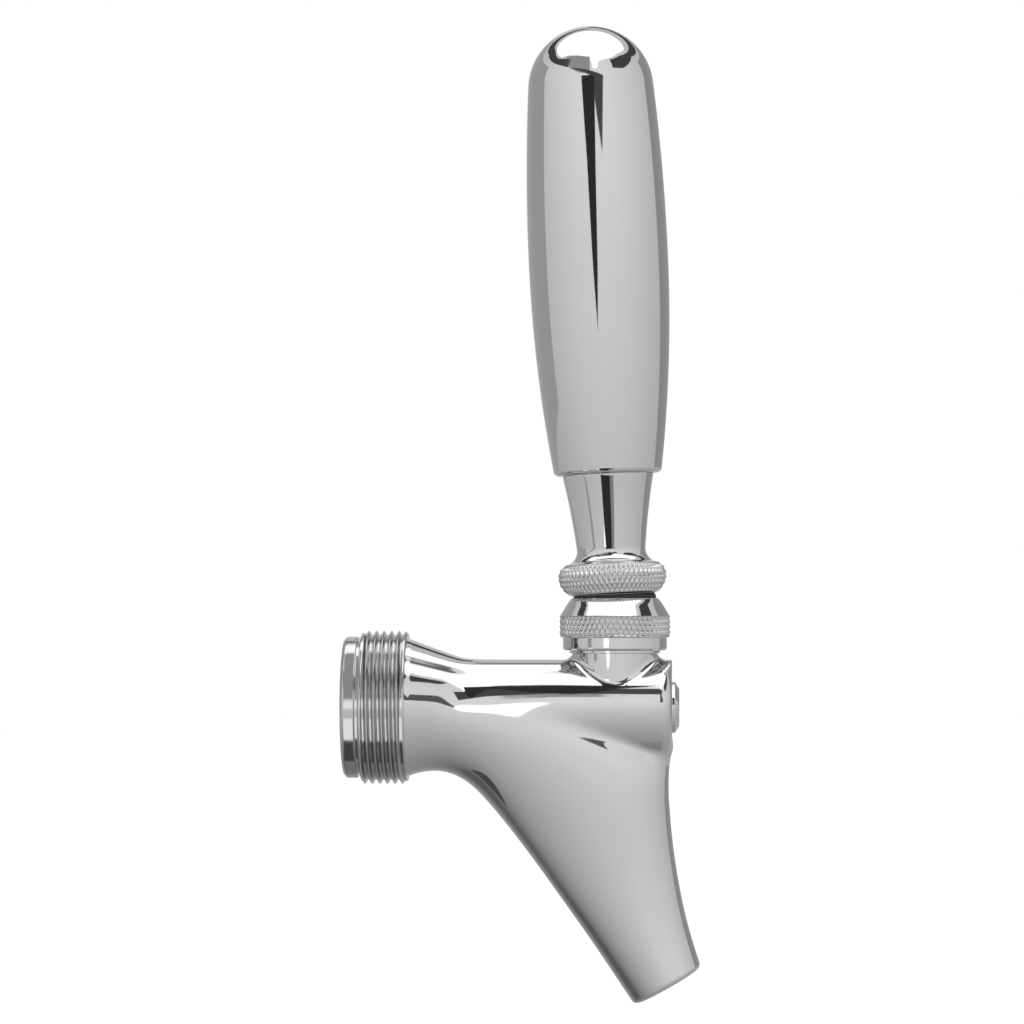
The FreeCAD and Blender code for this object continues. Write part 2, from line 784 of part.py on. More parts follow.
def shaft_nut():
    """The hexagon nut that clamps cup and washer on the shaft."""
    width = size["nut_width"]
    corner_radius = size["nut_across"] / 2 / cosine(as_size(30.0))
    hexagon = primitive("Prism", "nut_blank", Circumradius=corner_radius, Height=width)
    hexagon.Polygon = 6
    place(hexagon, x=cup_back - width, turn=as_size(90.0))
    hole = primitive("Cylinder", "nut_hole", Radius=size["stub_radius"], Height=width + CLEAR_OF * 2)
    place(hole, x=cup_back - width - CLEAR_OF, turn=as_size(90.0))
    return cut("shaft_nut", hexagon, hole)


PIECES = [
    faucet_body, front_plug, coupling_gasket,
    compression_bonnet, ball_seat, friction_ring, dust_ring,
    lever, lever_collar, handle, handle_insert,
    valve_shaft, shaft_bush, shaft_o_ring, seat_washer, washer_cup, shaft_nut,
]
nodes = {make.__name__: make() for make in PIECES}
doc.recompute()

for thing in doc.Objects:
    if "Invalid" in thing.State or "Error" in thing.State:
        raise RuntimeError(f"{thing.Label} failed: {thing.State}")
for name, thing in nodes.items():
    shape = thing.Shape
    if shape.isNull() or not shape.isValid() or not shape.Solids:
        raise RuntimeError(f"{name} has no valid solid")

os.makedirs("parts", exist_ok=True)
for name, thing in nodes.items():
    thing.Label = name
    thing.Shape.exportStep(f"parts/{name}.step")
    box = thing.Shape.BoundBox
    sides = f"X {box.XMin:.2f}..{box.XMax:.2f}, Z {box.ZMin:.2f}..{box.ZMax:.2f}"
    print(f"{name}: {thing.Shape.Volume:.1f} mm3, {sides}")
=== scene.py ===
# %% [markdown]
# # A chrome tap for drawn beer
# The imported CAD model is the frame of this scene: it says where every piece is and how it moves.
# The pieces inside the tap keep their CAD meshes and only get a finish. The chromed outside is
# made again here as fine surfaces, because chrome is a mirror: an eye reads its shape from the
# bent picture of the studio in it, and a mesh that is good enough for a machine shows there as
# facets. All lengths are written in millimetres and turned to metres when a mesh is made.

import json
import math

import bpy
import numpy as np
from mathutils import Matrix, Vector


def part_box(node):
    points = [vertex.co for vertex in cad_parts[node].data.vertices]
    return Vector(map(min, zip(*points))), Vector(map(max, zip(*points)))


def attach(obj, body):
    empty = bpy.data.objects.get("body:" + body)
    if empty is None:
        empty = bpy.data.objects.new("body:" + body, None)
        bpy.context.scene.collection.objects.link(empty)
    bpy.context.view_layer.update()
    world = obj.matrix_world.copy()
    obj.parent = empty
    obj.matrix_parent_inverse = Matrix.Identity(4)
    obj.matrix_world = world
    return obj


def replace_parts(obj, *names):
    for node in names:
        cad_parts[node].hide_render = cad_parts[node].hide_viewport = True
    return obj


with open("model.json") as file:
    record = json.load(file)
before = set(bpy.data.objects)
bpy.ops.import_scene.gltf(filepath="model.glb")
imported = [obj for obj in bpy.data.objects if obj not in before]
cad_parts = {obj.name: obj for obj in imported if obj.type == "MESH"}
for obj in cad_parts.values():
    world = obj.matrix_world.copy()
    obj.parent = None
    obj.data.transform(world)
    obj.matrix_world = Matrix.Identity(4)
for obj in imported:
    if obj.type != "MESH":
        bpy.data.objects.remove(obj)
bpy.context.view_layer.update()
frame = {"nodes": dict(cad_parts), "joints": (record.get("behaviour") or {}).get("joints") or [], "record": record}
MM = 0.001

# %% [markdown]
# ## Axes
# Everything but the spout is turned about one of three axes: the shank's axis through the barrel,
# the upright through the boss, and the lever's own axis, which leans a little to the rear. The
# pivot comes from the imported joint, the plug's face and the thread's radius from the nodes' boxes.

# %% Places that the frame gives
def box_of(node):
    """A CAD node's lowest and highest corners, in millimetres."""
    return np.array([list(corner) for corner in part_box(node)]) / MM


pivot = np.array(next(j["pos_m"] for j in frame["joints"] if j["name"] == "lever_pivot")) / MM
body_low, body_high = box_of("faucet_body")
plug_high = box_of("front_plug")[1]
bonnet_low, bonnet_high = box_of("compression_bonnet")
dust_low, dust_high = box_of("dust_ring")

BOSS_X = pivot[0]
THREAD_RADIUS = body_high[1]
LEVER_LEAN = math.radians(2.5)
lean_cos, lean_sin = math.cos(LEVER_LEAN), math.sin(LEVER_LEAN)

# Each axis is a turn, whose rows are the directions of the turned shape's x, y and height, and a place.
SHANK_AXIS = (np.array([[0, 1, 0], [0, 0, 1], [1, 0, 0]], float), np.zeros(3))
BOSS_AXIS = (np.eye(3), np.array([BOSS_X, 0, 0]))
LEVER_AXIS = (np.array([[lean_cos, 0, lean_sin], [0, 1, 0], [-lean_sin, 0, lean_cos]]), pivot)
print("pivot, mm:", pivot, " thread radius, mm:", round(THREAD_RADIUS, 4))

# %% [markdown]
# ## Outlines
# A turned piece is fully said by half of its outline. A draughtsman writes that as corners and
# arcs, so this helper takes both. It then blurs the outline along its own length by about a
# tenth of a millimetre: polishing does the same to every edge of a chromed piece, and an edge
# that is a little round catches a thin line of light, which a sharp one can't.

# %% Trace an outline
TRACE_STEP = 0.02


def stretch(start, end, radius):
    """Points from start to end: on a line, or on an arc of that radius about a centre on the left."""
    chord = end - start
    length = np.hypot(*chord)
    share = np.linspace(0, 1, max(int(length / TRACE_STEP), 8), endpoint=False)[:, None]
    if radius is None:
        return start + chord * share
    left = np.array([-chord[1], chord[0]]) / length
    centre = (start + end) / 2 + left * math.copysign(math.sqrt(radius**2 - length**2 / 4), radius)
    first = math.atan2(*(start - centre)[::-1])
    turn = math.copysign(2 * math.asin(length / 2 / abs(radius)), radius)
    angle = first + turn * share
    return centre + abs(radius) * np.hstack([np.cos(angle), np.sin(angle)])


def traced(corners, rounds=None, soften=0.1, widest=0.6, sharpest=6.0, fine=None, on_axis=False):
    """
    An outline's points and outward normals, from (radius, height) corners with the solid on the left.
    The points lie closer where it turns: each step is at most widest long and turns at most sharpest
    degrees. fine is (low, high, inner, step): between those heights, and outside the inner radius, steps
    are at most that long. on_axis says that the outline runs from the axis to the axis, and otherwise it
    closes on itself.
    """
    corners = np.array(corners, float)
    rounds = rounds or {}
    count = len(corners) - 1 if on_axis else len(corners)
    parts = [stretch(corners[i], corners[(i + 1) % len(corners)], rounds.get(i)) for i in range(count)]
    path = np.vstack(parts + ([corners[-1:]] if on_axis else []))
    reach = max(int(4 * soften / TRACE_STEP), 1)
    weights = np.exp(-0.5 * (np.arange(-reach, reach + 1) * TRACE_STEP / soften) ** 2)
    weights /= weights.sum()
    if on_axis:
        mirror = np.array([-1, 1])
        longer = np.vstack([path[reach:0:-1] * mirror, path, path[-2:-reach - 2:-1] * mirror])
    else:
        longer = np.vstack([path[-reach:], path, path[:reach]])
    path = np.stack([np.convolve(longer[:, axis], weights, "valid") for axis in (0, 1)], 1)
    if not on_axis:
        path = np.vstack([path, path[:1]])
    step = np.diff(path, axis=0)
    length = np.hypot(*step.T)
    heading = np.unwrap(np.arctan2(step[:, 1], step[:, 0]))
    limit = np.full(len(length), widest)
    if fine:
        low, high, inner, fine_step = fine
        radius, height = ((path[1:] + path[:-1]) / 2).T
        limit[(height > low) & (height < high) & (radius > inner)] = fine_step
    turning = np.abs(np.gradient(heading)) / math.radians(sharpest)
    steps = np.concatenate([[0], np.cumsum(length / limit + turning)])
    rows = np.linspace(0, steps[-1], int(steps[-1]) + 2)
    distance = np.concatenate([[0], np.cumsum(length)])
    at = np.interp(rows, steps, distance)
    points = np.stack([np.interp(at, distance, path[:, axis]) for axis in (0, 1)], 1)
    halfway = (distance[1:] + distance[:-1]) / 2
    facing = np.interp(at, halfway, heading)
    if not on_axis:
        laps = round((heading[-1] - heading[0]) / math.tau)
        facing[[0, -1]] = (heading[0] + heading[-1] - laps * math.tau) / 2
        points, facing = points[:-1], facing[:-1]
    return points, np.stack([np.sin(facing), -np.cos(facing)], 1)


drum = traced([(0, 0), (4, 0), (4, 4), (0, 4)], on_axis=True)[0]
print("a drum 4 mm high is traced in", len(drum), "points")

# %% [markdown]
# ## From arrays to meshes
# Blender smooths a mesh by averaging the faces round each point, which is only nearly right, and
# a mirror shows the difference. Every surface here knows its true normal, so it is handed over
# with the mesh.

# %% Make a mesh
def placed(name, data):
    """A new object in the scene, at the origin."""
    made = bpy.data.objects.new(name, data)
    bpy.context.scene.collection.objects.link(made)
    return made


def solid(name, points, faces, normals, body, slot, finishes, second=None):
    """
    A closed mesh from points in millimetres, faces and each point's normal. second marks the faces that
    take the second finish.
    """
    mesh = bpy.data.meshes.new(name)
    sides = np.concatenate([np.full(len(group), group.shape[1]) for group in faces])
    loop_points = np.concatenate([group.reshape(-1) for group in faces])
    mesh.vertices.add(len(points))
    mesh.loops.add(len(loop_points))
    mesh.polygons.add(len(sides))
    mesh.vertices.foreach_set("co", (points * MM).reshape(-1))
    mesh.loops.foreach_set("vertex_index", loop_points)
    mesh.polygons.foreach_set("loop_start", np.cumsum(sides) - sides)
    mesh.update(calc_edges=True)
    mesh.polygons.foreach_set("use_smooth", np.ones(len(mesh.polygons), bool))
    if second is not None:
        mesh.polygons.foreach_set("material_index", second.astype(np.int32))
    for finish in finishes:
        mesh.materials.append(finish)
    mesh.normals_split_custom_set(normals[loop_points].tolist())
    mesh.update()
    piece = placed(name, mesh)
    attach(piece, body)
    print(f"{name}: {len(points)} points, {len(mesh.polygons)} faces")
    return piece


# %% [markdown]
# ## The lathe
# Turning the outline gives rows of points. A relief, such as a knurl or a thread, is a height
# that depends on the angle and on the place along the outline, and it moves each point along the
# outline's own normal. That is how the real ones are made too: rolled or cut into a turned blank.

# %% Turn an outline
HAIR = 1e-6  # keeps a division by nearly nothing from running away


def turned(outline, axis, around, on_axis=False, relief=None):
    """
    Points (r cos v, r sin v, h) for each outline point (r, h) and each angle v, with faces and normals.
    relief(angle, radius, height) gives how far a point stands out along the outline's normal. There the
    normals come from the neighbours in the grid, and the faces are marked, to be dressed apart.
    """
    line, facing = outline
    angle = np.linspace(0, math.tau, around, endpoint=False)[None, :]
    cosine, sine = np.cos(angle), np.sin(angle)
    radius, height = line[:, :1], line[:, 1:]
    lift = np.zeros((len(line), around)) if relief is None else relief(angle, radius, height)
    radius, height = radius + facing[:, :1] * lift, height + facing[:, 1:] * lift
    points = np.stack([radius * cosine, radius * sine, height + 0 * angle], -1)
    normals = np.stack([facing[:, :1] * cosine, facing[:, :1] * sine, facing[:, 1:] + 0 * angle], -1)
    changed = (lift != 0) | (np.roll(lift, 1, axis=0) != 0) | (np.roll(lift, -1, axis=0) != 0)
    along = np.roll(points, -1, axis=0) - np.roll(points, 1, axis=0)
    about = np.roll(points, -1, axis=1) - np.roll(points, 1, axis=1)
    grid_normals = np.cross(about, along)
    grid_normals /= np.maximum(np.linalg.norm(grid_normals, axis=-1, keepdims=True), HAIR)
    normals = np.where(changed[..., None], grid_normals, normals)
    number = np.arange(len(line) * around).reshape(-1, around)
    across, after = np.roll(number, -1, axis=1), np.roll(number, -1, axis=0)
    quads = np.stack([number, across, np.roll(after, -1, axis=1), after], -1)
    relieved = changed & np.roll(changed, -1, axis=0)
    points, normals = points.reshape(-1, 3), normals.reshape(-1, 3)
    if on_axis:
        upright = np.array([0, 0, 1])
        points = np.vstack([line[[0, -1], 1:] * upright, points[around:-around]])
        normals = np.vstack([facing[[0, -1], 1:] * upright, normals[around:-around]])
        number, across = number + 2 - around, across + 2 - around
        low_fan = np.stack([np.zeros(around, int), across[1], number[1]], -1)
        high_fan = np.stack([number[-2], across[-2], np.ones(around, int)], -1)
        faces = [(quads[1:-2] + 2 - around).reshape(-1, 4), low_fan, high_fan]
        relieved = np.concatenate([relieved[1:-2].reshape(-1), np.zeros(2 * around, bool)])
    else:
        faces = [quads.reshape(-1, 4)]
        relieved = relieved.reshape(-1)
    turn, place = axis
    return points @ turn + place, faces, normals @ turn, relieved


def turned_piece(name, node, outline, axis, around, body, slot, finishes, on_axis=False, relief=None):
    """Turns an outline to the piece that stands for a CAD node. A second finish goes where the relief is."""
    points, faces, normals, relieved = turned(outline, axis, around, on_axis, relief)
    second = relieved if len(finishes) > 1 else None
    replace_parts(solid(name, points, faces, normals, body, slot, finishes, second), node)


# %% [markdown]
# ## Finishes
# Chromium over nickel over brass: a hard, nearly neutral mirror. Chromium sends back a little
# over half of the light, so white surroundings look light grey in it, and only lamps look white.
# Buffing leaves a very faint haze, finer than anything that shows by itself, and a long soft
# ripple in the cast body that makes straight reflections wander a little.

# %% Colours and nodes
def linear(code):
    """A colour written as sRGB hex, turned to the linear numbers that a shader takes."""
    shares = [int(code[place:place + 2], 16) / 255 for place in (0, 2, 4)]
    return [*(s / 12.92 if s <= 0.04045 else ((s + 0.055) / 1.055) ** 2.4 for s in shares), 1.0]


def add(tree, kind, inputs=None, **settings):
    """Adds a node with its settings, and sets or links its inputs."""
    node = tree.nodes.new(kind)
    for setting, value in settings.items():
        setattr(node, setting, value)
    for socket, value in (inputs or {}).items():
        if isinstance(value, bpy.types.NodeSocket):
            tree.links.new(value, node.inputs[socket])
        else:
            node.inputs[socket].default_value = value
    return node


def new_finish(name, colour, metallic, grain_mm, rough, relief=None):
    """
    A Principled material of that colour. Its roughness wanders between the two values of rough, over blobs
    about grain_mm wide. relief is the width, height and detail of a bump, the first two in millimetres.
    """
    finish = bpy.data.materials.new(name)
    finish.use_nodes = True
    tree = finish.node_tree
    shader = tree.nodes["Principled BSDF"]
    shader.inputs["Base Color"].default_value = linear(colour)
    shader.inputs["Metallic"].default_value = metallic
    place = add(tree, "ShaderNodeTexCoord").outputs["Object"]
    grain = add(tree, "ShaderNodeTexNoise", {
        "Vector": place, "Scale": 1 / (grain_mm * MM), "Detail": 3.0})
    haze = add(tree, "ShaderNodeMapRange", {
        "Value": grain.outputs[0], "From Min": 0.3, "From Max": 0.7, "To Min": rough[0], "To Max": rough[1]})
    tree.links.new(haze.outputs[0], shader.inputs["Roughness"])
    if relief:
        width, height, detail = relief
        swell = add(tree, "ShaderNodeTexNoise", {
            "Vector": place, "Scale": 1 / (width * MM), "Detail": detail})
        bump = add(tree, "ShaderNodeBump", {
            "Height": swell.outputs[0], "Distance": height * MM, "Strength": 1.0})
        tree.links.new(bump.outputs[0], shader.inputs["Normal"])
    return finish


CHROMIUM = "C4C4C3"

# Bright chrome plate: a buffing haze a millimetre wide over the casting's slow ripple. Turned pieces
# come off the lathe truer, so they hardly ripple.
cast_chrome = new_finish("polished_chrome_on_casting", CHROMIUM, 1.0, grain_mm=0.9, rough=(0.03, 0.065),
                         relief=(7.0, 0.012, 1.0))
lathe_chrome = new_finish("polished_chrome_on_turning", CHROMIUM, 1.0, grain_mm=0.9, rough=(0.03, 0.065),
                          relief=(7.0, 0.0008, 1.0))

# The same plate on a rolled knurl: its small faces are not buffed, so they are duller.
knurl_chrome = new_finish("knurled_chrome_plate", CHROMIUM, 1.0, grain_mm=0.25, rough=(0.08, 0.16))

# Thin plate on a thread that nobody polished: the cutter's marks stay, so it is duller. It is also greyer, and
# that grey is painted shade standing in for the dark reflections on the rear end.
thread_chrome = new_finish("unbuffed_chrome_with_painted_shade", "B6B6B5", 1.0, grain_mm=0.3, rough=(0.09, 0.17))

# Free-cutting brass as it comes from the lathe: yellow, with fine tool marks.
turned_brass = new_finish("turned_brass", "D9B96C", 1.0, grain_mm=0.15, rough=(0.2, 0.34))

# Stainless steel bar, turned and lightly polished: greyer and softer than chrome.
turned_steel = new_finish("turned_stainless_steel", "B6B4B0", 1.0, grain_mm=0.2, rough=(0.14, 0.28))

# Moulded nitrile rubber: near black, with a soft sheen and a fine mould grain.
black_rubber = new_finish("moulded_nitrile_rubber", "161616", 0.0, grain_mm=0.3, rough=(0.42, 0.62),
                          relief=(0.3, 0.01, 3.0))

# Turned acetal: milky white and slightly waxy, because light goes half a millimetre into it.
bearing_plastic = new_finish("turned_acetal", "E4E1D8", 0.0, grain_mm=0.4, rough=(0.34, 0.48))
waxy = bearing_plastic.node_tree.nodes["Principled BSDF"]
waxy.inputs["Subsurface Weight"].default_value = 0.1
waxy.inputs["Subsurface Scale"].default_value = 0.5 * MM

INNER_FINISHES = {
    "lever_steel": turned_steel,
    "valve_brass": turned_brass,
    "black_rubber": black_rubber,
    "bearing_plastic": bearing_plastic,
}
print("finishes:", [finish.name for finish in bpy.data.materials])

# %% [markdown]
# ## Pieces that keep their CAD mesh
# Valve, seals, bush and lever are inside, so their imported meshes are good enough. Each gets the
# finish of its material slot in the record.

# %% Dress the inner pieces
slot_of = {part["node"]: part["material_slot"] for part in frame["record"]["subparts"]}
for node_name, node in frame["nodes"].items():
    slot = slot_of[node_name]
    if slot in INNER_FINISHES:
        node.data.materials.clear()
        node.data.materials.append(INNER_FINISHES[slot])
        print(node_name, "is", INNER_FINISHES[slot].name)

# %% [markdown]
# ## The rear end
# The shank's nut is screwed on this thread, and its nose goes into the socket. The thread has
# 18 turns to the inch. A thread is one groove that winds forward by a pitch each turn, so its
# phase depends on the place along the axis and on the angle together. The flanks are at 60
# degrees, the crest is an eighth of a pitch wide and the root a quarter.

# %% Thread and socket
THREAD_PITCH = 25.4 / 18
THREAD_DEPTH = 0.5413 * THREAD_PITCH  # what flanks at 60 degrees between such flats come to
LIP_RADIUS, LIP_LENGTH, LIP_CHAMFER = 13.2, 2.6, 0.6
UNDERCUT_RADIUS, UNDERCUT_WIDTH = 12.6, 0.7
THREAD_START = LIP_LENGTH + UNDERCUT_WIDTH
THREAD_LENGTH, THREAD_CHAMFER = 8.6, 0.5
THREAD_END = THREAD_START + THREAD_LENGTH
SOCKET_RADIUS, SOCKET_DEPTH = 11.2, 2.2
GASKET_RADIUS, GASKET_END = 10.9, 4.4
CHAMBER_RADIUS, SEAT_FACE = 9.0, 10.5
SEAT_RADIUS, SEAT_END, SEAT_WALL = 5.0, 13.5, 8.0
CREST_SHARE, ROOT_SHARE = 1 / 8, 1 / 4
THREAD_ONLY, THREAD_STEP = LIP_RADIUS + 0.2, THREAD_PITCH / 20


def thread_relief(angle, radius, height):
    """Minus the depth in the groove: 0 on the crest, 1 on the root, straight flanks between."""
    phase = (height / THREAD_PITCH - angle / math.tau) % 1
    off_crest = np.abs(phase - 0.5)
    flank = 0.5 - CREST_SHARE / 2 - ROOT_SHARE / 2
    depth = np.clip((0.5 - off_crest - CREST_SHARE / 2) / flank, 0, 1)
    runs_in = np.clip((height - THREAD_START) / THREAD_CHAMFER, 0, 1)
    runs_out = np.clip((THREAD_END - height) / THREAD_CHAMFER, 0, 1)
    return -THREAD_DEPTH * depth * ((radius > THREAD_ONLY) * (runs_in * runs_out))


coupling_outline = traced([
    (SOCKET_RADIUS, 0),
    (LIP_RADIUS - LIP_CHAMFER, 0),
    (LIP_RADIUS, LIP_CHAMFER),
    (LIP_RADIUS, LIP_LENGTH),
    (UNDERCUT_RADIUS, LIP_LENGTH),
    (UNDERCUT_RADIUS, THREAD_START),
    (THREAD_RADIUS - THREAD_CHAMFER, THREAD_START),
    (THREAD_RADIUS, THREAD_START + THREAD_CHAMFER),
    (THREAD_RADIUS, THREAD_END - THREAD_CHAMFER),
    (THREAD_RADIUS - THREAD_CHAMFER, THREAD_END),
    (SEAT_WALL, THREAD_END),
    (SEAT_WALL, SEAT_END),
    (SEAT_RADIUS, SEAT_END),
    (SEAT_RADIUS, SEAT_FACE),
    (CHAMBER_RADIUS, SEAT_FACE),
    (CHAMBER_RADIUS, GASKET_END),
    (GASKET_RADIUS, GASKET_END),
    (GASKET_RADIUS, SOCKET_DEPTH),
    (SOCKET_RADIUS, SOCKET_DEPTH),
], soften=0.05, widest=1.2, sharpest=20.0, fine=(THREAD_START, THREAD_END, LIP_RADIUS, THREAD_STEP))
# The thread's chrome is partly a real unpolished finish and partly painted shade: its greyer colour darkens the
# rear end's reflections.
turned_piece("shank_coupling", "faucet_body", coupling_outline, SHANK_AXIS, 288, "tap", "body_chrome",
             [thread_chrome], relief=thread_relief)

# %% [markdown]
# ## The body casting
# Barrel, boss and spout are one casting, and no turned or lofted surface has the soft webs that
# run between them. So the body is a field: a function that is negative inside the metal and
# grows like a distance outside. Fields join with a soft minimum, which lays a fillet wherever
# two of them meet, and the bores are taken out in the same way. The barrel is a turned field, the
# spout a row of ovals along a bent line.

# %% Ways to join fields
def soft_minimum(a, b, blend):
    """The smaller of two fields, with a cubic fillet where they differ by less than blend."""
    near = np.maximum(blend - np.abs(a - b), 0) / blend
    return np.minimum(a, b) - near**3 * blend / 6


def rounded_corner(a, b, radius):
    """The larger of two fields, with their edge rounded to a radius."""
    corner = np.hypot(np.maximum(a + radius, 0), np.maximum(b + radius, 0))
    return np.minimum(np.maximum(a, b) + radius, 0) + corner - radius


SHARPEST_COSINE = 0.98  # no fillet fits where two surfaces run side by side


def rolled_corner(a, b, cosine, radius):
    """
    The smaller of two fields, with the fillet that a rolling ball would leave. The ball's centre lies a
    radius from both surfaces. A point's offset from it is split along the two surface directions, whose
    angle has that cosine, and where both parts point inwards the surface is the ball's own.
    """
    cosine = np.minimum(cosine, SHARPEST_COSINE)
    u, v, share = a - radius, b - radius, 1 - cosine**2
    in_fillet = (u < cosine * v) & (v < cosine * u)
    reach = np.sqrt(np.maximum(u * u + v * v - 2 * cosine * u * v, 0) / share)
    return np.where(in_fillet, radius - reach, np.minimum(a, b))


def easing(value, low, high):
    """0 below low, 1 above high, and a soft step between."""
    share = np.clip((value - low) / (high - low), 0, 1)
    return share * share * (3 - 2 * share)


print("two equal fields of 1 mm join softly to", soft_minimum(1.0, 1.0, 1.5))

# %% [markdown]
# ## The spout
# Its sections are ovals that shrink, slim down and tilt as they follow a bent line. A lofted mesh
# would do for the spout alone, but it has to melt into the barrel, so it is a field too: each
# point looks for the section that it lies in, and asks how far outside that oval it is.

# %% Spout: ovals along a bent line
# Each section of the spout: centre x and z, tilt of its long axis from level, half length, half width.
SPOUT_SECTIONS = np.array([
    (12.60, 0.00, 90.0, 12.49, 12.49),
    (19.35, -1.60, 79.8, 10.46, 10.30),
    (32.70, -4.75, 57.3, 13.49, 9.50),
    (46.65, -17.84, 37.0, 15.34, 8.70),
    (50.63, -28.85, 30.8, 12.14, 7.90),
    (56.10, -43.16, 22.45, 8.55, 7.30),
    (60.35, -51.80, 29.5, 7.10, 7.10),
])
OUTLET_TILT = math.radians(SPOUT_SECTIONS[-1, 2])
OUTLET = SPOUT_SECTIONS[-1, :2]
OUTLET_ROUND = 0.9
GUESS_COUNT, NEWTON_STEPS, LEAST_CHANGE, DEEP_INSIDE = 18, 6, 0.05, 0.5


def smooth_curve(knots, values):
    """A natural cubic spline: its slopes solve a row of equations, so that its curvature is continuous."""
    gap = np.diff(knots)[:, None]
    rise = np.diff(values, axis=0) / gap
    count = len(knots)
    system, side = np.zeros((count, count)), np.zeros((count, values.shape[1]))
    inner = np.arange(1, count - 1)
    system[inner, inner - 1] = gap[1:, 0]
    system[inner, inner] = 2 * (gap[1:, 0] + gap[:-1, 0])
    system[inner, inner + 1] = gap[:-1, 0]
    side[1:-1] = 3 * (gap[:-1] * rise[1:] + gap[1:] * rise[:-1])
    system[0, :2], side[0] = (2, 1), 3 * rise[0]
    system[-1, -2:], side[-1] = (1, 2), 3 * rise[-1]
    slopes = np.linalg.solve(system, side)

    def at(place, column):
        """Value and slope of one column at these places, by Hermite's cubic between the knots."""
        k = np.clip(np.searchsorted(knots, place) - 1, 0, count - 2)
        g = gap[k, 0]
        t = (place - knots[k]) / g
        a, b = values[k, column], slopes[k, column] * g
        c, d = values[k + 1, column], slopes[k + 1, column] * g
        square, cube = 3 * (c - a) - 2 * b - d, 2 * (a - c) + b + d
        return a + t * (b + t * (square + t * cube)), (b + t * (2 * square + 3 * t * cube)) / g

    return at


section_gaps = np.hypot(*np.diff(SPOUT_SECTIONS[:, :2], axis=0).T)
stations = np.concatenate([[0], np.cumsum(section_gaps)])
section_values = SPOUT_SECTIONS * [1, 1, math.pi / 180, 1, 1]
spout_line = smooth_curve(stations, section_values)
first_guesses = np.linspace(0, stations[-1], GUESS_COUNT)


def ahead_of(x, z, station):
    """How far a point lies ahead of a station's section, and how that changes as the station moves on."""
    (cx, dx), (cz, dz), (tilt, bend) = (spout_line(station, column) for column in (0, 1, 2))
    forward_x, forward_z = np.sin(tilt), -np.cos(tilt)
    ahead = (x - cx) * forward_x + (z - cz) * forward_z
    change = -dx * forward_x - dz * forward_z + bend * ((x - cx) * np.cos(tilt) + (z - cz) * np.sin(tilt))
    return ahead, change


def spout_field(x, y, z):
    """
    Find the section whose plane holds the point: start from the first of a row of stations that it
    isn't ahead of, and close in by Newton's method. In that plane the distance to the oval is q (q - 1)
    over the length of the oval's gradient, where q is 1 on it. Deep inside, a rough distance will do. The
    ends are planes, and the outlet's edge is rounded.
    """
    x, z = np.broadcast_arrays(x, z)
    behind = ahead_of(x[..., None], z[..., None], first_guesses)[0] < 0
    station = first_guesses[np.where(behind.any(-1), behind.argmax(-1), len(first_guesses) - 1)]
    for _ in range(NEWTON_STEPS):
        ahead, change = ahead_of(x, z, station)
        station = np.clip(station - ahead / np.minimum(change, -LEAST_CHANGE), 0, stations[-1])
    cx, cz, tilt, reach, width = (spout_line(station, column)[0] for column in range(5))
    along = (x - cx) * np.cos(tilt) + (z - cz) * np.sin(tilt)
    q = np.sqrt((along / reach) ** 2 + (y / width) ** 2)
    side = q * (q - 1) / np.maximum(np.sqrt(along**2 / reach**4 + y**2 / width**4), HAIR)
    side = np.where(q < DEEP_INSIDE, (q - 1) * width, side)
    past_outlet = ahead_of(x, z, stations[-1])[0]
    before_neck = -ahead_of(x, z, stations[0])[0]
    return np.maximum(rounded_corner(side, past_outlet, OUTLET_ROUND), before_neck)


print("spout line, mm:", round(stations[-1], 1))

# %% [markdown]
# ## The barrel, the boss and the bores
# The neck runs down to the barrel on a cone and turns into it on a long curve: a hyperbola does
# that in one formula. The bores matter less to the eye, but the shaft and the lever move in
# them, so they are where the CAD model has them.

# %% The casting's field
BARREL_RADIUS, NECK_SLOPE, NECK_MEETING, NECK_BEND = 8.9, math.tan(math.radians(20.4)), 22.52, 0.25
PLUG_RISE = 1.35
BARREL_FRONT = plug_high[0] - PLUG_RISE
BARREL_EDGE, TONGUE_EDGE, TONGUE_RADIUS = 2.1, 0.3, 11.2
CASTING_START = SEAT_FACE + 0.5
BOSS_RADIUS, BEAD_HEIGHT = 7.7, 10.1
CASTING_TOP = BEAD_HEIGHT + 0.2
BOSS_FILLET, WEB_BLEND, NECK_BLEND = 2.0, 1.5, 0.4
WEB_START, WEB_FULL = 18.0, 24.0
CHIN_TOP, CHIN_FOOT, CHIN_RADIUS, CHIN_BLEND = (57.05, -8.0), (56.2, -14.2), 4.0, 2.0
# Place and radius along the shank's axis: inside the seat's wall, then the throat, then the shaft's bore.
SHAFT_BORE = np.array([(SEAT_FACE, 5.6), (SEAT_END, 5.6), (14.5, 6.6), (24.0, 6.6), (24.4, 5.0)])
PASSAGE_FOOT, PASSAGE_RADIUS = 1.0, 5.4
OUTLET_BORE_RADIUS, OUTLET_BORE_LENGTH, INNER_BORE_RADIUS, BORE_EDGE = 4.9, 14.0, 5.6, 0.6


def barrel_side(x, y, z):
    """Distance from the shank's axis less the radius there, over the slope's length."""
    fall = (NECK_MEETING - x) * NECK_SLOPE
    root = np.sqrt(fall**2 + NECK_BEND)
    slope = NECK_SLOPE * (1 + fall / root) / 2
    return (np.hypot(y, z) - BARREL_RADIUS - (fall + root) / 2) / np.sqrt(1 + slope**2)


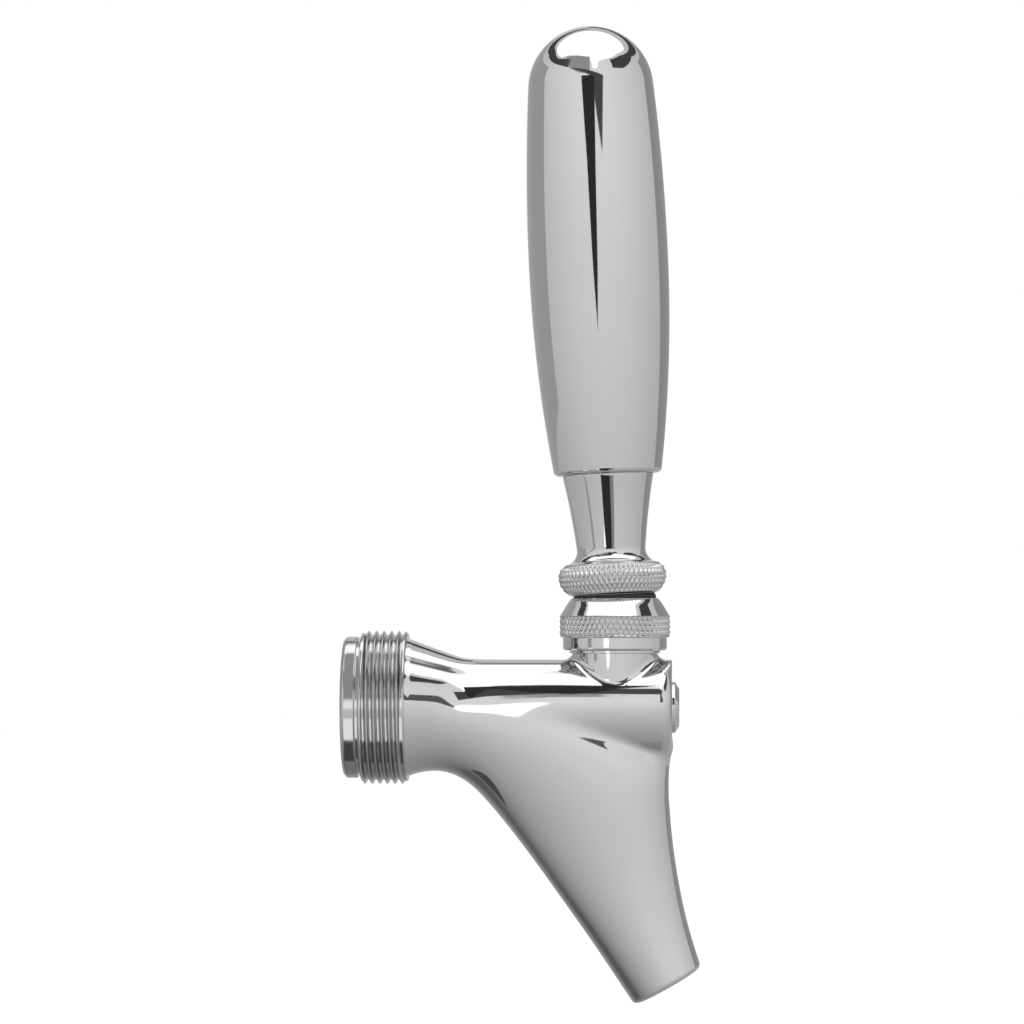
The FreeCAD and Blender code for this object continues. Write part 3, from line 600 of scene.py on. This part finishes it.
def barrel_and_boss(x, y, z):
    """
    The barrel with its round front edge, and the boss with a rolled fillet. The two surfaces meet at an
    angle whose cosine is y squared over both radii. The fillet runs out over the front edge as a tongue.
    """
    side, past_front = barrel_side(x, y, z), x - BARREL_FRONT
    barrel = np.maximum(rounded_corner(side, past_front, BARREL_EDGE), CASTING_START - x)
    from_boss, from_shank = np.hypot(x - BOSS_X, y), np.hypot(y, z)
    cosine = y * y / np.maximum(from_boss * from_shank, HAIR)
    boss = rolled_corner(side, from_boss - BOSS_RADIUS, cosine, BOSS_FILLET)
    boss = rounded_corner(boss, np.maximum(from_boss - TONGUE_RADIUS, past_front), TONGUE_EDGE)
    return np.minimum(barrel, np.maximum(np.maximum(boss, z - CASTING_TOP), -z))


def bore_field(x, y, z):
    """Shaft bore, lever passage and spout bore: the nearest of the three."""
    shaft = np.hypot(y, z) - np.interp(x, *SHAFT_BORE.T)
    lever = np.maximum(np.hypot(x - BOSS_X, y) - PASSAGE_RADIUS, PASSAGE_FOOT - z)
    up_x, up_z = -math.sin(OUTLET_TILT), math.cos(OUTLET_TILT)
    rise = (x - OUTLET[0]) * up_x + (z - OUTLET[1]) * up_z
    across = np.hypot((x - OUTLET[0]) * up_z - (z - OUTLET[1]) * up_x, y)
    full = -OUTLET[1] / up_z
    radius = np.interp(rise, [OUTLET_BORE_LENGTH, full], [OUTLET_BORE_RADIUS, INNER_BORE_RADIUS])
    spout = np.maximum(across - radius, rise - full)
    return np.minimum(np.minimum(shaft, lever), spout)


def casting_field(x, y, z):
    """
    Barrel and boss, then the spout, less the bores. The chin, which fills the corner under the front, is
    the distance to a short line less its radius.
    """
    blend = NECK_BLEND + (WEB_BLEND - NECK_BLEND) * easing(x, WEB_START, WEB_FULL)
    outside = soft_minimum(barrel_and_boss(x, y, z), spout_field(x, y, z), blend)
    (top_x, top_z), (foot_x, foot_z) = CHIN_TOP, CHIN_FOOT
    run, drop = foot_x - top_x, foot_z - top_z
    share = np.clip(((x - top_x) * run + (z - top_z) * drop) / (run**2 + drop**2), 0, 1)
    chin = np.sqrt((x - top_x - share * run) ** 2 + y**2 + (z - top_z - share * drop) ** 2) - CHIN_RADIUS
    outside = soft_minimum(outside, chin, CHIN_BLEND)
    return rounded_corner(outside, -bore_field(x, y, z), BORE_EDGE)


# %% [markdown]
# ## A skin over a field
# Surface nets: lay a grid of small cells over the field, put one point in each cell that the
# surface crosses, at the mean of its crossings, and join the points of the four cells round each
# grid edge that it crosses. Then pull each point onto the surface along the field's gradient,
# which is also its exact normal. The whole grid is worked on at once, as arrays.

# %% Surface nets
CELL = 0.46
SLOPE_STEP = 0.01
PULLS, FURTHEST_PULL, LEAST_STEEPNESS = 4, 0.6, 0.05


def gradient(field, points):
    """The field's slope along x, y and z, from its values a hair to both sides."""
    sides = []
    for axis in np.eye(3) * SLOPE_STEP:
        sides.append(field(*(points + axis).T) - field(*(points - axis).T))
    return np.stack(sides, -1) / (2 * SLOPE_STEP)


def skin(field, low, high, cell):
    """Points, quads and normals of the surface where the field is zero."""
    axes = [np.arange(a, b + cell, cell) for a, b in zip(low, high)]
    values = field(*np.meshgrid(*axes, indexing="ij", sparse=True))
    inside = values < 0
    corners = [(a, b, c) for a in (0, 1) for b in (0, 1) for c in (0, 1)]
    shape = tuple(n - 1 for n in values.shape)
    unit = np.eye(3, dtype=int)

    def corner_of(array, corner):
        return array[tuple(slice(o, o + n) for o, n in zip(corner, shape))]

    count = sum(corner_of(inside, corner).astype(np.int8) for corner in corners)
    cells = np.argwhere((count > 0) & (count < 8))
    number = np.full(shape, -1)
    number[tuple(cells.T)] = np.arange(len(cells))
    at_corner = {c: values[tuple((cells + c).T)] for c in corners}
    total, crossings = np.zeros((len(cells), 3)), np.zeros(len(cells))
    for first in corners:
        for axis in range(3):
            if first[axis]:
                continue
            a, b = at_corner[first], at_corner[tuple(int(o) for o in first + unit[axis])]
            crossed = (a < 0) != (b < 0)
            share = np.where(crossed, a / np.where(crossed, a - b, 1), 0)
            place = np.array(first) + share[:, None] * unit[axis]
            total += np.where(crossed[:, None], place, 0)
            crossings += crossed
    points = np.array(low) + (cells + total / crossings[:, None]) * cell
    start = points.copy()
    for _ in range(PULLS):
        slope = gradient(field, points)
        steepness = np.maximum((slope**2).sum(-1, keepdims=True), LEAST_STEEPNESS)
        points = points - field(*points.T)[:, None] * slope / steepness
        points = np.clip(points, start - FURTHEST_PULL * cell, start + FURTHEST_PULL * cell)
    normals = gradient(field, points)
    normals /= np.linalg.norm(normals, axis=-1, keepdims=True)
    quads = []
    for axis in range(3):
        crossed = np.argwhere(inside != np.roll(inside, -1, axis))
        crossed = crossed[((crossed >= 1 - unit[axis]) & (crossed < shape)).all(1)]
        one, two = unit[(axis + 1) % 3], unit[(axis + 2) % 3]
        around = [crossed, crossed - one, crossed - one - two, crossed - two]
        quad = np.stack([number[tuple(place.T)] for place in around], -1)
        leaving = inside[tuple(crossed.T)]
        quads.append(np.where(leaving[:, None], quad, quad[:, ::-1]))
    return points, [np.vstack(quads)], normals


# The middle plane runs through the middle of a row of cells, so both halves get the same skin.
HALF_GRID, GRID_TOP, GRID_MARGIN = 30.5 * CELL, 14.6, 1.0
casting_low = (CASTING_START - GRID_MARGIN, -HALF_GRID, body_low[2] - GRID_MARGIN)
casting_high = (body_high[0] + GRID_MARGIN, HALF_GRID, GRID_TOP)
casting = skin(casting_field, casting_low, casting_high, CELL)
body_casting = solid("body_casting", *casting, "tap", "body_chrome", [cast_chrome])
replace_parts(body_casting, "faucet_body")

# %% [markdown]
# ## The boss's collar and the plug
# Above the casting the boss is turned: a bead that the bonnet closes on, and a short threaded
# neck. The plug in the barrel's front is pressed in and stands out with a bevelled head.

# %% Boss collar and front plug
BEAD_RADIUS, BEAD_TOP, COLLAR_SINK = 8.4, bonnet_low[2], 0.3
BOSS_THREAD_RADIUS, BOSS_TOP, CUP_RADIUS, CUP_FLOOR = 8.2, 14.4, 7.0, 11.0
boss_outline = traced([
    (PASSAGE_RADIUS, BEAD_HEIGHT - COLLAR_SINK),
    (BOSS_RADIUS - COLLAR_SINK, BEAD_HEIGHT - COLLAR_SINK),
    (BOSS_RADIUS - COLLAR_SINK, BEAD_HEIGHT),
    (BEAD_RADIUS, BEAD_HEIGHT),
    (BEAD_RADIUS, BEAD_TOP),
    (BOSS_THREAD_RADIUS, BEAD_TOP),
    (BOSS_THREAD_RADIUS, BOSS_TOP),
    (CUP_RADIUS, BOSS_TOP),
    (CUP_RADIUS, CUP_FLOOR),
    (PASSAGE_RADIUS, CUP_FLOOR),
], soften=0.06, sharpest=10.0)
turned_piece("boss_collar", "faucet_body", boss_outline, BOSS_AXIS, 160, "tap", "body_chrome",
             [lathe_chrome])

PLUG_DEPTH, PLUG_RADIUS, PLUG_HEAD_RADIUS, PLUG_HEAD_WIDTH, PLUG_FACE_RADIUS = 2.4, 5.0, 4.76, 0.55, 3.5
plug_outline = traced([
    (0, BARREL_FRONT - PLUG_DEPTH),
    (PLUG_RADIUS, BARREL_FRONT - PLUG_DEPTH),
    (PLUG_RADIUS, BARREL_FRONT),
    (PLUG_HEAD_RADIUS, BARREL_FRONT),
    (PLUG_HEAD_RADIUS, BARREL_FRONT + PLUG_HEAD_WIDTH),
    (PLUG_FACE_RADIUS, plug_high[0]),
    (0, plug_high[0]),
], soften=0.05, sharpest=10.0, on_axis=True)
turned_piece("plug_cap", "front_plug", plug_outline, SHANK_AXIS, 128, "tap", "body_chrome", [lathe_chrome],
             on_axis=True)

# %% [markdown]
# ## The bonnet and its knurl
# The bonnet screws down on the boss and holds the ball, so it has a knurl to grip. A diamond
# knurl is two sets of straight ridges that cross, one rolled left and one right, and the metal
# is high only where both are: the height is the smaller of two triangle waves. The diamonds are
# a millimetre wide and twice as long, with flanks at about 40 degrees, and the plating has
# rounded their points, so that each of them holds one dot of light.

# %% The knurl
KNURL_COUNT, KNURL_RISE, KNURL_DEPTH, KNURL_MARGIN = 62, 2.0, 0.42, 0.1
COLUMNS, KNURL_STEP = KNURL_COUNT * 8, KNURL_RISE / 16


def ridge(phase):
    """A triangle wave: 1 where the phase is whole, 0 halfway between."""
    return np.abs(2 * (phase % 1) - 1)


def knurl(inner, low, high):
    """The relief of a diamond knurl outside a radius and between two heights: minus its depth."""
    def relief(angle, radius, height):
        turns = KNURL_COUNT * angle / math.tau
        rise = height / KNURL_RISE
        depth = KNURL_DEPTH * (1 - np.minimum(ridge(turns + rise), ridge(turns - rise)))
        return np.where((radius > inner) & (height > low) & (height < high), -depth, 0)

    return relief


print("knurl:", KNURL_COUNT, "diamonds round,", COLUMNS, "columns")

# %% Bonnet
BAND_RADIUS, BAND_TOP, KNURL_RADIUS, KNURL_TOP = 9.7, BEAD_TOP + 2.4, 10.35, BEAD_TOP + 6.35
BONNET_CHAMFER, CONE_FOOT_RADIUS, CONE_TOP_RADIUS, CONE_TOP_DROP = 0.3, 10.3, 9.12, 1.45
RIM_RADIUS, RIM_ROUND = 8.05, 9.0
BONNET_TOP, BONNET_MOUTH, BONNET_BORE, BONNET_LIP, BOSS_ROOM = bonnet_high[2], 7.25, 8.0, 2.1, 0.2
bonnet_outline = traced([
    (BOSS_THREAD_RADIUS, BEAD_TOP),
    (BAND_RADIUS - BONNET_CHAMFER, BEAD_TOP),
    (BAND_RADIUS, BEAD_TOP + BONNET_CHAMFER),
    (BAND_RADIUS, BAND_TOP),
    (KNURL_RADIUS - BONNET_CHAMFER, BAND_TOP),
    (KNURL_RADIUS, BAND_TOP + BONNET_CHAMFER),
    (KNURL_RADIUS, KNURL_TOP - BONNET_CHAMFER),
    (CONE_FOOT_RADIUS, KNURL_TOP),
    (CONE_TOP_RADIUS, BONNET_TOP - CONE_TOP_DROP),
    (RIM_RADIUS, BONNET_TOP),
    (BONNET_MOUTH, BONNET_TOP),
    (BONNET_MOUTH, BONNET_TOP - BONNET_LIP),
    (BONNET_BORE, BONNET_TOP - BONNET_LIP),
    (BONNET_BORE, BOSS_TOP + BOSS_ROOM),
    (BOSS_THREAD_RADIUS, BOSS_TOP + BOSS_ROOM),
], {8: RIM_ROUND}, soften=0.06, sharpest=9.0,
    fine=(BAND_TOP - KNURL_MARGIN, KNURL_TOP + KNURL_MARGIN, BAND_RADIUS, KNURL_STEP))
turned_piece("bonnet_shell", "compression_bonnet", bonnet_outline, BOSS_AXIS, COLUMNS, "tap",
             "knurled_chrome", [lathe_chrome, knurl_chrome],
             relief=knurl(KNURL_RADIUS - KNURL_MARGIN, BAND_TOP, KNURL_TOP))

# %% [markdown]
# ## The moving joint
# A black rubber ring keeps drips out of the gap between the fixed bonnet and the collar, which swings with the
# lever. Its black is partly the rubber's own and partly painted shade, for the deep shade in that gap. The collar
# is one turned piece: a knurled belly, hollow underneath so that it clears the bonnet, a narrow waist, and a flare
# that the handle stands on.

# %% Dust ring
DUST_RADIUS, DUST_BORE, DUST_SPIGOT = dust_high[1], 5.72, 7.2
DUST_LIP_RADIUS, DUST_LIP_FOOT, DUST_LIP_RISE = 7.3, 7.55, 0.35
dust_outline = traced([
    (DUST_BORE, dust_low[2]),
    (DUST_SPIGOT, dust_low[2]),
    (DUST_SPIGOT, BONNET_TOP),
    (DUST_RADIUS, BONNET_TOP),
    (DUST_RADIUS, dust_high[2]),
    (DUST_LIP_FOOT, dust_high[2]),
    (DUST_LIP_RADIUS, dust_high[2] + DUST_LIP_RISE),
    (DUST_BORE, dust_high[2] + DUST_LIP_RISE),
], sharpest=10.0)
# The ring's black is partly painted shade: it darkens the gap under the collar, where shade falls.
turned_piece("gap_ring_with_painted_shade", "dust_ring", dust_outline, BOSS_AXIS, 128, "tap", "black_rubber", [black_rubber])

# %% Lever collar
STUD_RADIUS, RECESS_RADIUS = 4.75, 10.64
RIM_HEIGHT, BELLY_HEIGHT, BELLY_RADIUS = 7.05, 10.5, 10.16
LOWER_ROUND, UPPER_ROUND, SHOULDER_RISE = 3.7, 2.6, 2.35
WAIST_ROUND, WAIST_HEIGHT, WAIST_RADIUS, FLARE_ROUND = 2.6, 15.7, 6.41, 150.0
COLLAR_TOP_RADIUS, HANDLE_FOOT = 8.5, 29.5


def other_leg(hypotenuse, leg):
    """The third side of a right-angled triangle."""
    return math.sqrt(hypotenuse**2 - leg**2)


COLLAR_KNURL, SKIRT_ONLY = (7.75, 12.7), 8.3
collar_outline = traced([
    (STUD_RADIUS, other_leg(RECESS_RADIUS, STUD_RADIUS)),
    (other_leg(RECESS_RADIUS, RIM_HEIGHT), RIM_HEIGHT),
    (BELLY_RADIUS - LOWER_ROUND + other_leg(LOWER_ROUND, BELLY_HEIGHT - RIM_HEIGHT), RIM_HEIGHT),
    (BELLY_RADIUS, BELLY_HEIGHT),
    (BELLY_RADIUS - UPPER_ROUND + other_leg(UPPER_ROUND, SHOULDER_RISE), BELLY_HEIGHT + SHOULDER_RISE),
    (WAIST_RADIUS, WAIST_HEIGHT),
    (COLLAR_TOP_RADIUS, HANDLE_FOOT),
    (STUD_RADIUS, HANDLE_FOOT),
], {0: -RECESS_RADIUS, 2: LOWER_ROUND, 3: UPPER_ROUND, 4: -WAIST_ROUND, 5: -FLARE_ROUND},
    soften=0.08, widest=0.9, sharpest=9.0, fine=(*COLLAR_KNURL, SKIRT_ONLY, KNURL_STEP))
turned_piece("collar_skirt", "lever_collar", collar_outline, LEVER_AXIS, COLUMNS, "lever",
             "knurled_chrome", [lathe_chrome, knurl_chrome], relief=knurl(SKIRT_ONLY, *COLLAR_KNURL))

# %% [markdown]
# ## The tap handle
# A slim barrel of chromed brass that a hand closes round: two long arcs meet at the belly, and
# the upper one runs on into a dome without a crease. The rounded foot sits on the collar's flare.

# %% Tap handle
FOOT_RADIUS, FOOT_ROUND = 10.15, 1.0
LOWER_SIDE, BELLY_RISE, HANDLE_BELLY, UPPER_SIDE, HANDLE_LENGTH = 270.0, 41.0, 13.07, 385.0, 84.1
INSERT_RADIUS, INSERT_LENGTH, INSERT_POINT = 7.0, 20.0, 2.0
belly_height = HANDLE_FOOT + BELLY_RISE
rise = HANDLE_LENGTH - BELLY_RISE
inward = UPPER_SIDE - HANDLE_BELLY
dome = (UPPER_SIDE**2 - inward**2 - rise**2) / (2 * (UPPER_SIDE - rise))
share = UPPER_SIDE - dome
handle_outline = traced([
    (0, HANDLE_FOOT + INSERT_LENGTH + INSERT_POINT),
    (INSERT_RADIUS, HANDLE_FOOT + INSERT_LENGTH),
    (INSERT_RADIUS, HANDLE_FOOT),
    (FOOT_RADIUS - FOOT_ROUND, HANDLE_FOOT),
    (FOOT_RADIUS, HANDLE_FOOT + FOOT_ROUND),
    (HANDLE_BELLY, belly_height),
    (inward * dome / share, belly_height + UPPER_SIDE * (rise - dome) / share),
    (0, HANDLE_FOOT + HANDLE_LENGTH),
], {3: FOOT_ROUND, 4: LOWER_SIDE, 5: UPPER_SIDE, 6: dome}, widest=0.7, sharpest=2.5, on_axis=True)
turned_piece("tap_handle", "handle", handle_outline, LEVER_AXIS, 224, "lever", "handle_chrome",
             [lathe_chrome], on_axis=True)

# %% [markdown]
# ## The studio
# A mirror shows its surroundings, so the studio is half of what the eye takes for chrome. White
# walls all round, a large softbox overhead, grey behind, and black gaps between the softbox and
# the walls. The world is the white walls. Far cards lie on a wide sphere round the tap, and near
# ones hang close to it, so that barrel, bonnet and handle each see them at a different height.

# %% World
def bare_tree(owner):
    """The node tree of a material or a world, emptied."""
    owner.use_nodes = True
    owner.node_tree.nodes.clear()
    return owner.node_tree


def seen_directly(tree):
    """1 for rays from the camera, reflections and glass, 0 for those that light the tap."""
    path = add(tree, "ShaderNodeLightPath")
    seen = path.outputs["Is Camera Ray"]
    for ray in ("Is Glossy Ray", "Is Transmission Ray"):
        seen = add(tree, "ShaderNodeMath", {0: seen, 1: path.outputs[ray]}, operation="MAXIMUM").outputs[0]
    return seen


def wall_shade(tree, heading):
    """How bright the walls look in a reflection that goes that way: less behind and low down."""
    parts = add(tree, "ShaderNodeSeparateXYZ", {"Vector": heading})
    depth = add(tree, "ShaderNodeMapRange", {
        "Value": parts.outputs["Y"], "From Min": -1.0, "To Min": WALL_FRONT, "To Max": WALL_REAR})
    height = add(tree, "ShaderNodeMapRange", {
        "Value": parts.outputs["Z"], "From Min": 0.0, "From Max": 0.3, "To Min": WALL_FOOT, "To Max": 1.0},
        interpolation_type="SMOOTHSTEP")
    both = add(tree, "ShaderNodeMath", {0: depth.outputs[0], 1: height.outputs[0]}, operation="MULTIPLY")
    return both.outputs[0]


WHITE = linear("FFFFFF")
WALL_FRONT, WALL_REAR, WALL_FOOT, WALL_LIGHT = 1.2, 0.7, 0.87, 0.85
world = bpy.data.worlds.new("white_studio")
bpy.context.scene.world = world
tree = bare_tree(world)
place = add(tree, "ShaderNodeTexCoord")
mirrored = add(tree, "ShaderNodeLightPath").outputs["Is Glossy Ray"]
graded = wall_shade(tree, place.outputs["Generated"])
bright = add(tree, "ShaderNodeMapRange", {"Value": mirrored, "To Min": 1.0, "To Max": graded})
strength = add(tree, "ShaderNodeMapRange", {
    "Value": seen_directly(tree), "To Min": WALL_LIGHT, "To Max": bright.outputs[0]})
backdrop = add(tree, "ShaderNodeBackground", {"Color": WHITE, "Strength": strength.outputs[0]})
add(tree, "ShaderNodeOutputWorld", {"Surface": backdrop.outputs[0]})
print("walls from", WALL_FRONT, "to", WALL_REAR)

# %% [markdown]
# ## The cards
# A photographer shapes the light on chrome with cards: each bright or dark stripe on the tap is
# the picture of one. They glow, or are nearly black, and only reflections see them. Those that
# hang over or under one piece have a face on one side only, so that no other piece catches them.

# %% Cards
STUDIO_RADIUS = 1600.0
CARD_COLUMNS, CARD_ROWS, HOOD_COLUMNS = 49, 13, 25


def card(name, shade, points, faces=None, one_sided=False):
    """
    A glowing sheet that only reflections see, and its glow node: one flat face round its points, which
    are in millimetres, or those faces. A one-sided sheet isn't there for rays from behind.
    """
    mesh = bpy.data.meshes.new(name)
    mesh.from_pydata((np.array(points, float) * MM).tolist(), [], faces or [range(len(points))])
    paint = bpy.data.materials.new(name)
    tree = bare_tree(paint)
    glow = surface = add(tree, "ShaderNodeEmission", {"Color": WHITE, "Strength": shade})
    if one_sided:
        back = add(tree, "ShaderNodeNewGeometry").outputs["Backfacing"]
        clear = add(tree, "ShaderNodeBsdfTransparent")
        surface = add(tree, "ShaderNodeMixShader", {0: back, 1: glow.outputs[0], 2: clear.outputs[0]})
    add(tree, "ShaderNodeOutputMaterial", {"Surface": surface.outputs[0]})
    mesh.materials.append(paint)
    made = placed(name, mesh)
    for ray in ("camera", "diffuse", "transmission", "volume_scatter", "shadow"):
        setattr(made, f"visible_{ray}", False)
    return tree, glow


def sheet_faces(rows, columns):
    """The quads of a sheet whose points are counted row by row."""
    number = np.arange(rows * columns).reshape(rows, columns)
    quads = np.stack([number[:-1, :-1], number[:-1, 1:], number[1:, 1:], number[1:, :-1]], -1)
    return quads.reshape(-1, 4).tolist()


def far_card(name, shade, azimuths, low, high):
    """
    A patch of the sphere. Azimuth 0 is the camera's side and 90 the tap's front, in degrees. low and
    high give the elevations of its edges, from points (azimuth, elevation).
    """
    across = np.linspace(*azimuths, CARD_COLUMNS)
    bottom, top = np.interp(across, *zip(*low)), np.interp(across, *zip(*high))
    up = np.linspace(0, 1, CARD_ROWS)[:, None]
    azimuth, elevation = np.radians(across)[None, :] + 0 * up, np.radians(bottom + (top - bottom) * up)
    points = STUDIO_RADIUS * np.stack([
        np.sin(azimuth) * np.cos(elevation), -np.cos(azimuth) * np.cos(elevation), np.sin(elevation)], -1)
    card(name, shade, points.reshape(-1, 3), sheet_faces(CARD_ROWS, CARD_COLUMNS))


def disc(centre, radius):
    """Corners of an upright round card that faces the camera's side."""
    turn = np.radians(np.arange(0, 360, 12))
    return radius * np.stack([np.cos(turn), 0 * turn, np.sin(turn)], 1) + np.array(centre, float)


far_card("softbox", 2.0, (-180, 180),
         [(-180, 56), (-120, 53), (-90, 51), (-75, 50), (-60, 56), (-35, 59), (0, 57), (3, 34), (16, 34),
          (20, 48), (50, 51), (80, 54), (110, 51), (150, 54), (180, 56)],
         [(-180, 89.5), (180, 89.5)])
far_card("black_gap_left", 0.08, (-180, -45),
         [(-180, 44), (-150, 38), (-120, 42), (-80, 39), (-60, 38), (-45, 36)],
         [(-180, 48), (-140, 48), (-110, 51), (-80, 47), (-60, 50), (-45, 50)])
far_card("grey_cloth", 0.45, (-60, 1),
         [(-60, 42), (-45, 37), (-20, 27), (1, 26)], [(-60, 54), (-35, 58), (1, 57)])
far_card("black_gap_right", 0.08, (48, 180), [(48, 34), (70, 32), (110, 41), (150, 33), (180, 30)],
         [(48, 48), (80, 50), (120, 46), (180, 38)])
far_card("grey_rear_left", 0.5, (-165, -94), [(-165, -20), (-94, -20)], [(-165, 36), (-94, 33)])
far_card("grey_rear_right", 0.4, (118, 170), [(118, -20), (170, -20)], [(118, 33), (170, 30)])

card("black_bar", 0.1, [(-150, -350, 330), (-150, -215, 285), (140, -211, 190), (140, -354, 180)])
card("black_wedge", 0.04, [(39, -110, 65), (46, -110, 88), (52, -110, 120), (60, -110, 150),
                           (14, -110, 150), (26, -110, 120), (32, -110, 88)])
card("black_flag", 0.04, [(47, -14, 28), (33, -56, 28), (55, -56, 28), (50.5, -14, 28)], one_sided=True)
card("grey_flag", 0.35, [(50.5, -14, 28), (55, -56, 28), (64, -56, 28), (51.8, -14, 28)], one_sided=True)
card("neck_flag", 0.15, [(60, -50, 30), (66, -50, 30), (115, -113, 30), (60, -145, 30)], one_sided=True)
card("small_lamp", 2.0, disc((32, -60, 13), 6.5))

# Strips stand round the rear end's axis and face it: name, shade, and from and to which elevation.
HOOD_RADIUS, HOOD_ENDS = 40.0, (-10.0, 8.0)
for name, shade, first, last in (("grey_hood", 0.48, 12, 86), ("upper_white_hood", 1.6, -1, 9),
                                 ("lower_white_hood", 1.5, -45, -14), ("black_hood", 0.1, -84, -47)):
    arc = np.radians(np.linspace(first, last, HOOD_COLUMNS))
    ring = HOOD_RADIUS * np.stack([0 * arc, -np.cos(arc), np.sin(arc)], 1)
    hood = np.concatenate([ring + np.array([end, 0, 0]) for end in HOOD_ENDS])
    card(name, shade, hood, sheet_faces(2, HOOD_COLUMNS), one_sided=True)

# A mat lies on the floor, darkest to the rear left of the tap, where the spout's lower edge looks. Far
# off it takes the walls' own shade, so that no edge of it shows.
MAT_MIDDLE = np.array([-90.0, 60.0, -158.0])
MAT_RADIUS, MAT_HALFWAY, MAT_DARK = 30000.0, 120.0, 0.16
around = np.radians(np.arange(0, 360, 5))
rim = MAT_RADIUS * np.stack([np.cos(around), np.sin(around), 0 * around], 1) + MAT_MIDDLE
tree, glow = card("dark_mat", 1.0, rim)
place = add(tree, "ShaderNodeTexCoord")
away = add(tree, "ShaderNodeVectorMath", {
    0: place.outputs["Object"], 1: list(MAT_MIDDLE * MM)}, operation="DISTANCE")
heading = add(tree, "ShaderNodeVectorMath", {0: place.outputs["Object"]}, operation="NORMALIZE")
graded = wall_shade(tree, heading.outputs["Vector"])
further = add(tree, "ShaderNodeMath", {0: away.outputs["Value"], 1: MAT_HALFWAY * MM}, operation="ADD")
share = add(tree, "ShaderNodeMath", {0: away.outputs["Value"], 1: further.outputs[0]}, operation="DIVIDE")
shade = add(tree, "ShaderNodeMath", {0: share.outputs[0], 1: graded}, operation="MULTIPLY")
shade = add(tree, "ShaderNodeMath", {0: shade.outputs[0], 1: MAT_DARK}, operation="MAXIMUM")
tree.links.new(shade.outputs[0], glow.inputs["Strength"])

# %% [markdown]
# ## Floor and camera
# The floor lies well below the spout. To the camera and in reflections it is as white as the
# walls, and it still takes the tap's shadow. The camera stands far off in front, as for a
# catalogue picture, level with the bonnet and beside the plug, and is turned a little to the middle.

# %% Floor
FLOOR_DEPTH, FLOOR_REACH, FLOOR_GLOW = 160.0, 6000.0, 0.35
floor_mesh = bpy.data.meshes.new("floor")
floor_corners = [(x * FLOOR_REACH * MM, y * FLOOR_REACH * MM, -FLOOR_DEPTH * MM)
                 for x, y in ((-1, -1), (1, -1), (1, 1), (-1, 1))]
floor_mesh.from_pydata(floor_corners, [], [(0, 1, 2, 3)])
floor = placed("floor", floor_mesh)
floor_paint = bpy.data.materials.new("white_floor")
tree = bare_tree(floor_paint)
matt = add(tree, "ShaderNodeBsdfDiffuse", {"Color": linear("E8E8E8")})
lift = add(tree, "ShaderNodeMath", {0: seen_directly(tree), 1: FLOOR_GLOW}, operation="MULTIPLY")
glow = add(tree, "ShaderNodeEmission", {"Color": WHITE, "Strength": lift.outputs[0]})
both = add(tree, "ShaderNodeAddShader", {0: matt.outputs[0], 1: glow.outputs[0]})
add(tree, "ShaderNodeOutputMaterial", {"Surface": both.outputs[0]})
floor_mesh.materials.append(floor_paint)
print("floor at", -FLOOR_DEPTH, "mm")

# %% Camera
CAMERA_PLACE = (61.2, -780.0, 15.2)
CAMERA_AIM = (-0.0383, 1.0, 0.0273)
FOCAL_PIXELS, FRAME_PIXELS, SENSOR = 4174.6, 1024, 36.0
lens = bpy.data.cameras.new("camera")
lens.sensor_width = SENSOR
lens.lens = FOCAL_PIXELS / FRAME_PIXELS * SENSOR
lens.clip_start, lens.clip_end = 0.05, 50
camera = placed("camera", lens)
camera.location = [value * MM for value in CAMERA_PLACE]
aside, ahead, up = CAMERA_AIM
pitch = math.atan2(up, math.hypot(aside, ahead))
camera.rotation_euler = (math.radians(90) + pitch, 0, math.atan2(-aside, ahead))
bpy.context.scene.camera = camera
bpy.context.scene.view_settings.view_transform = "Standard"
print("lens, mm:", round(lens.lens, 1))
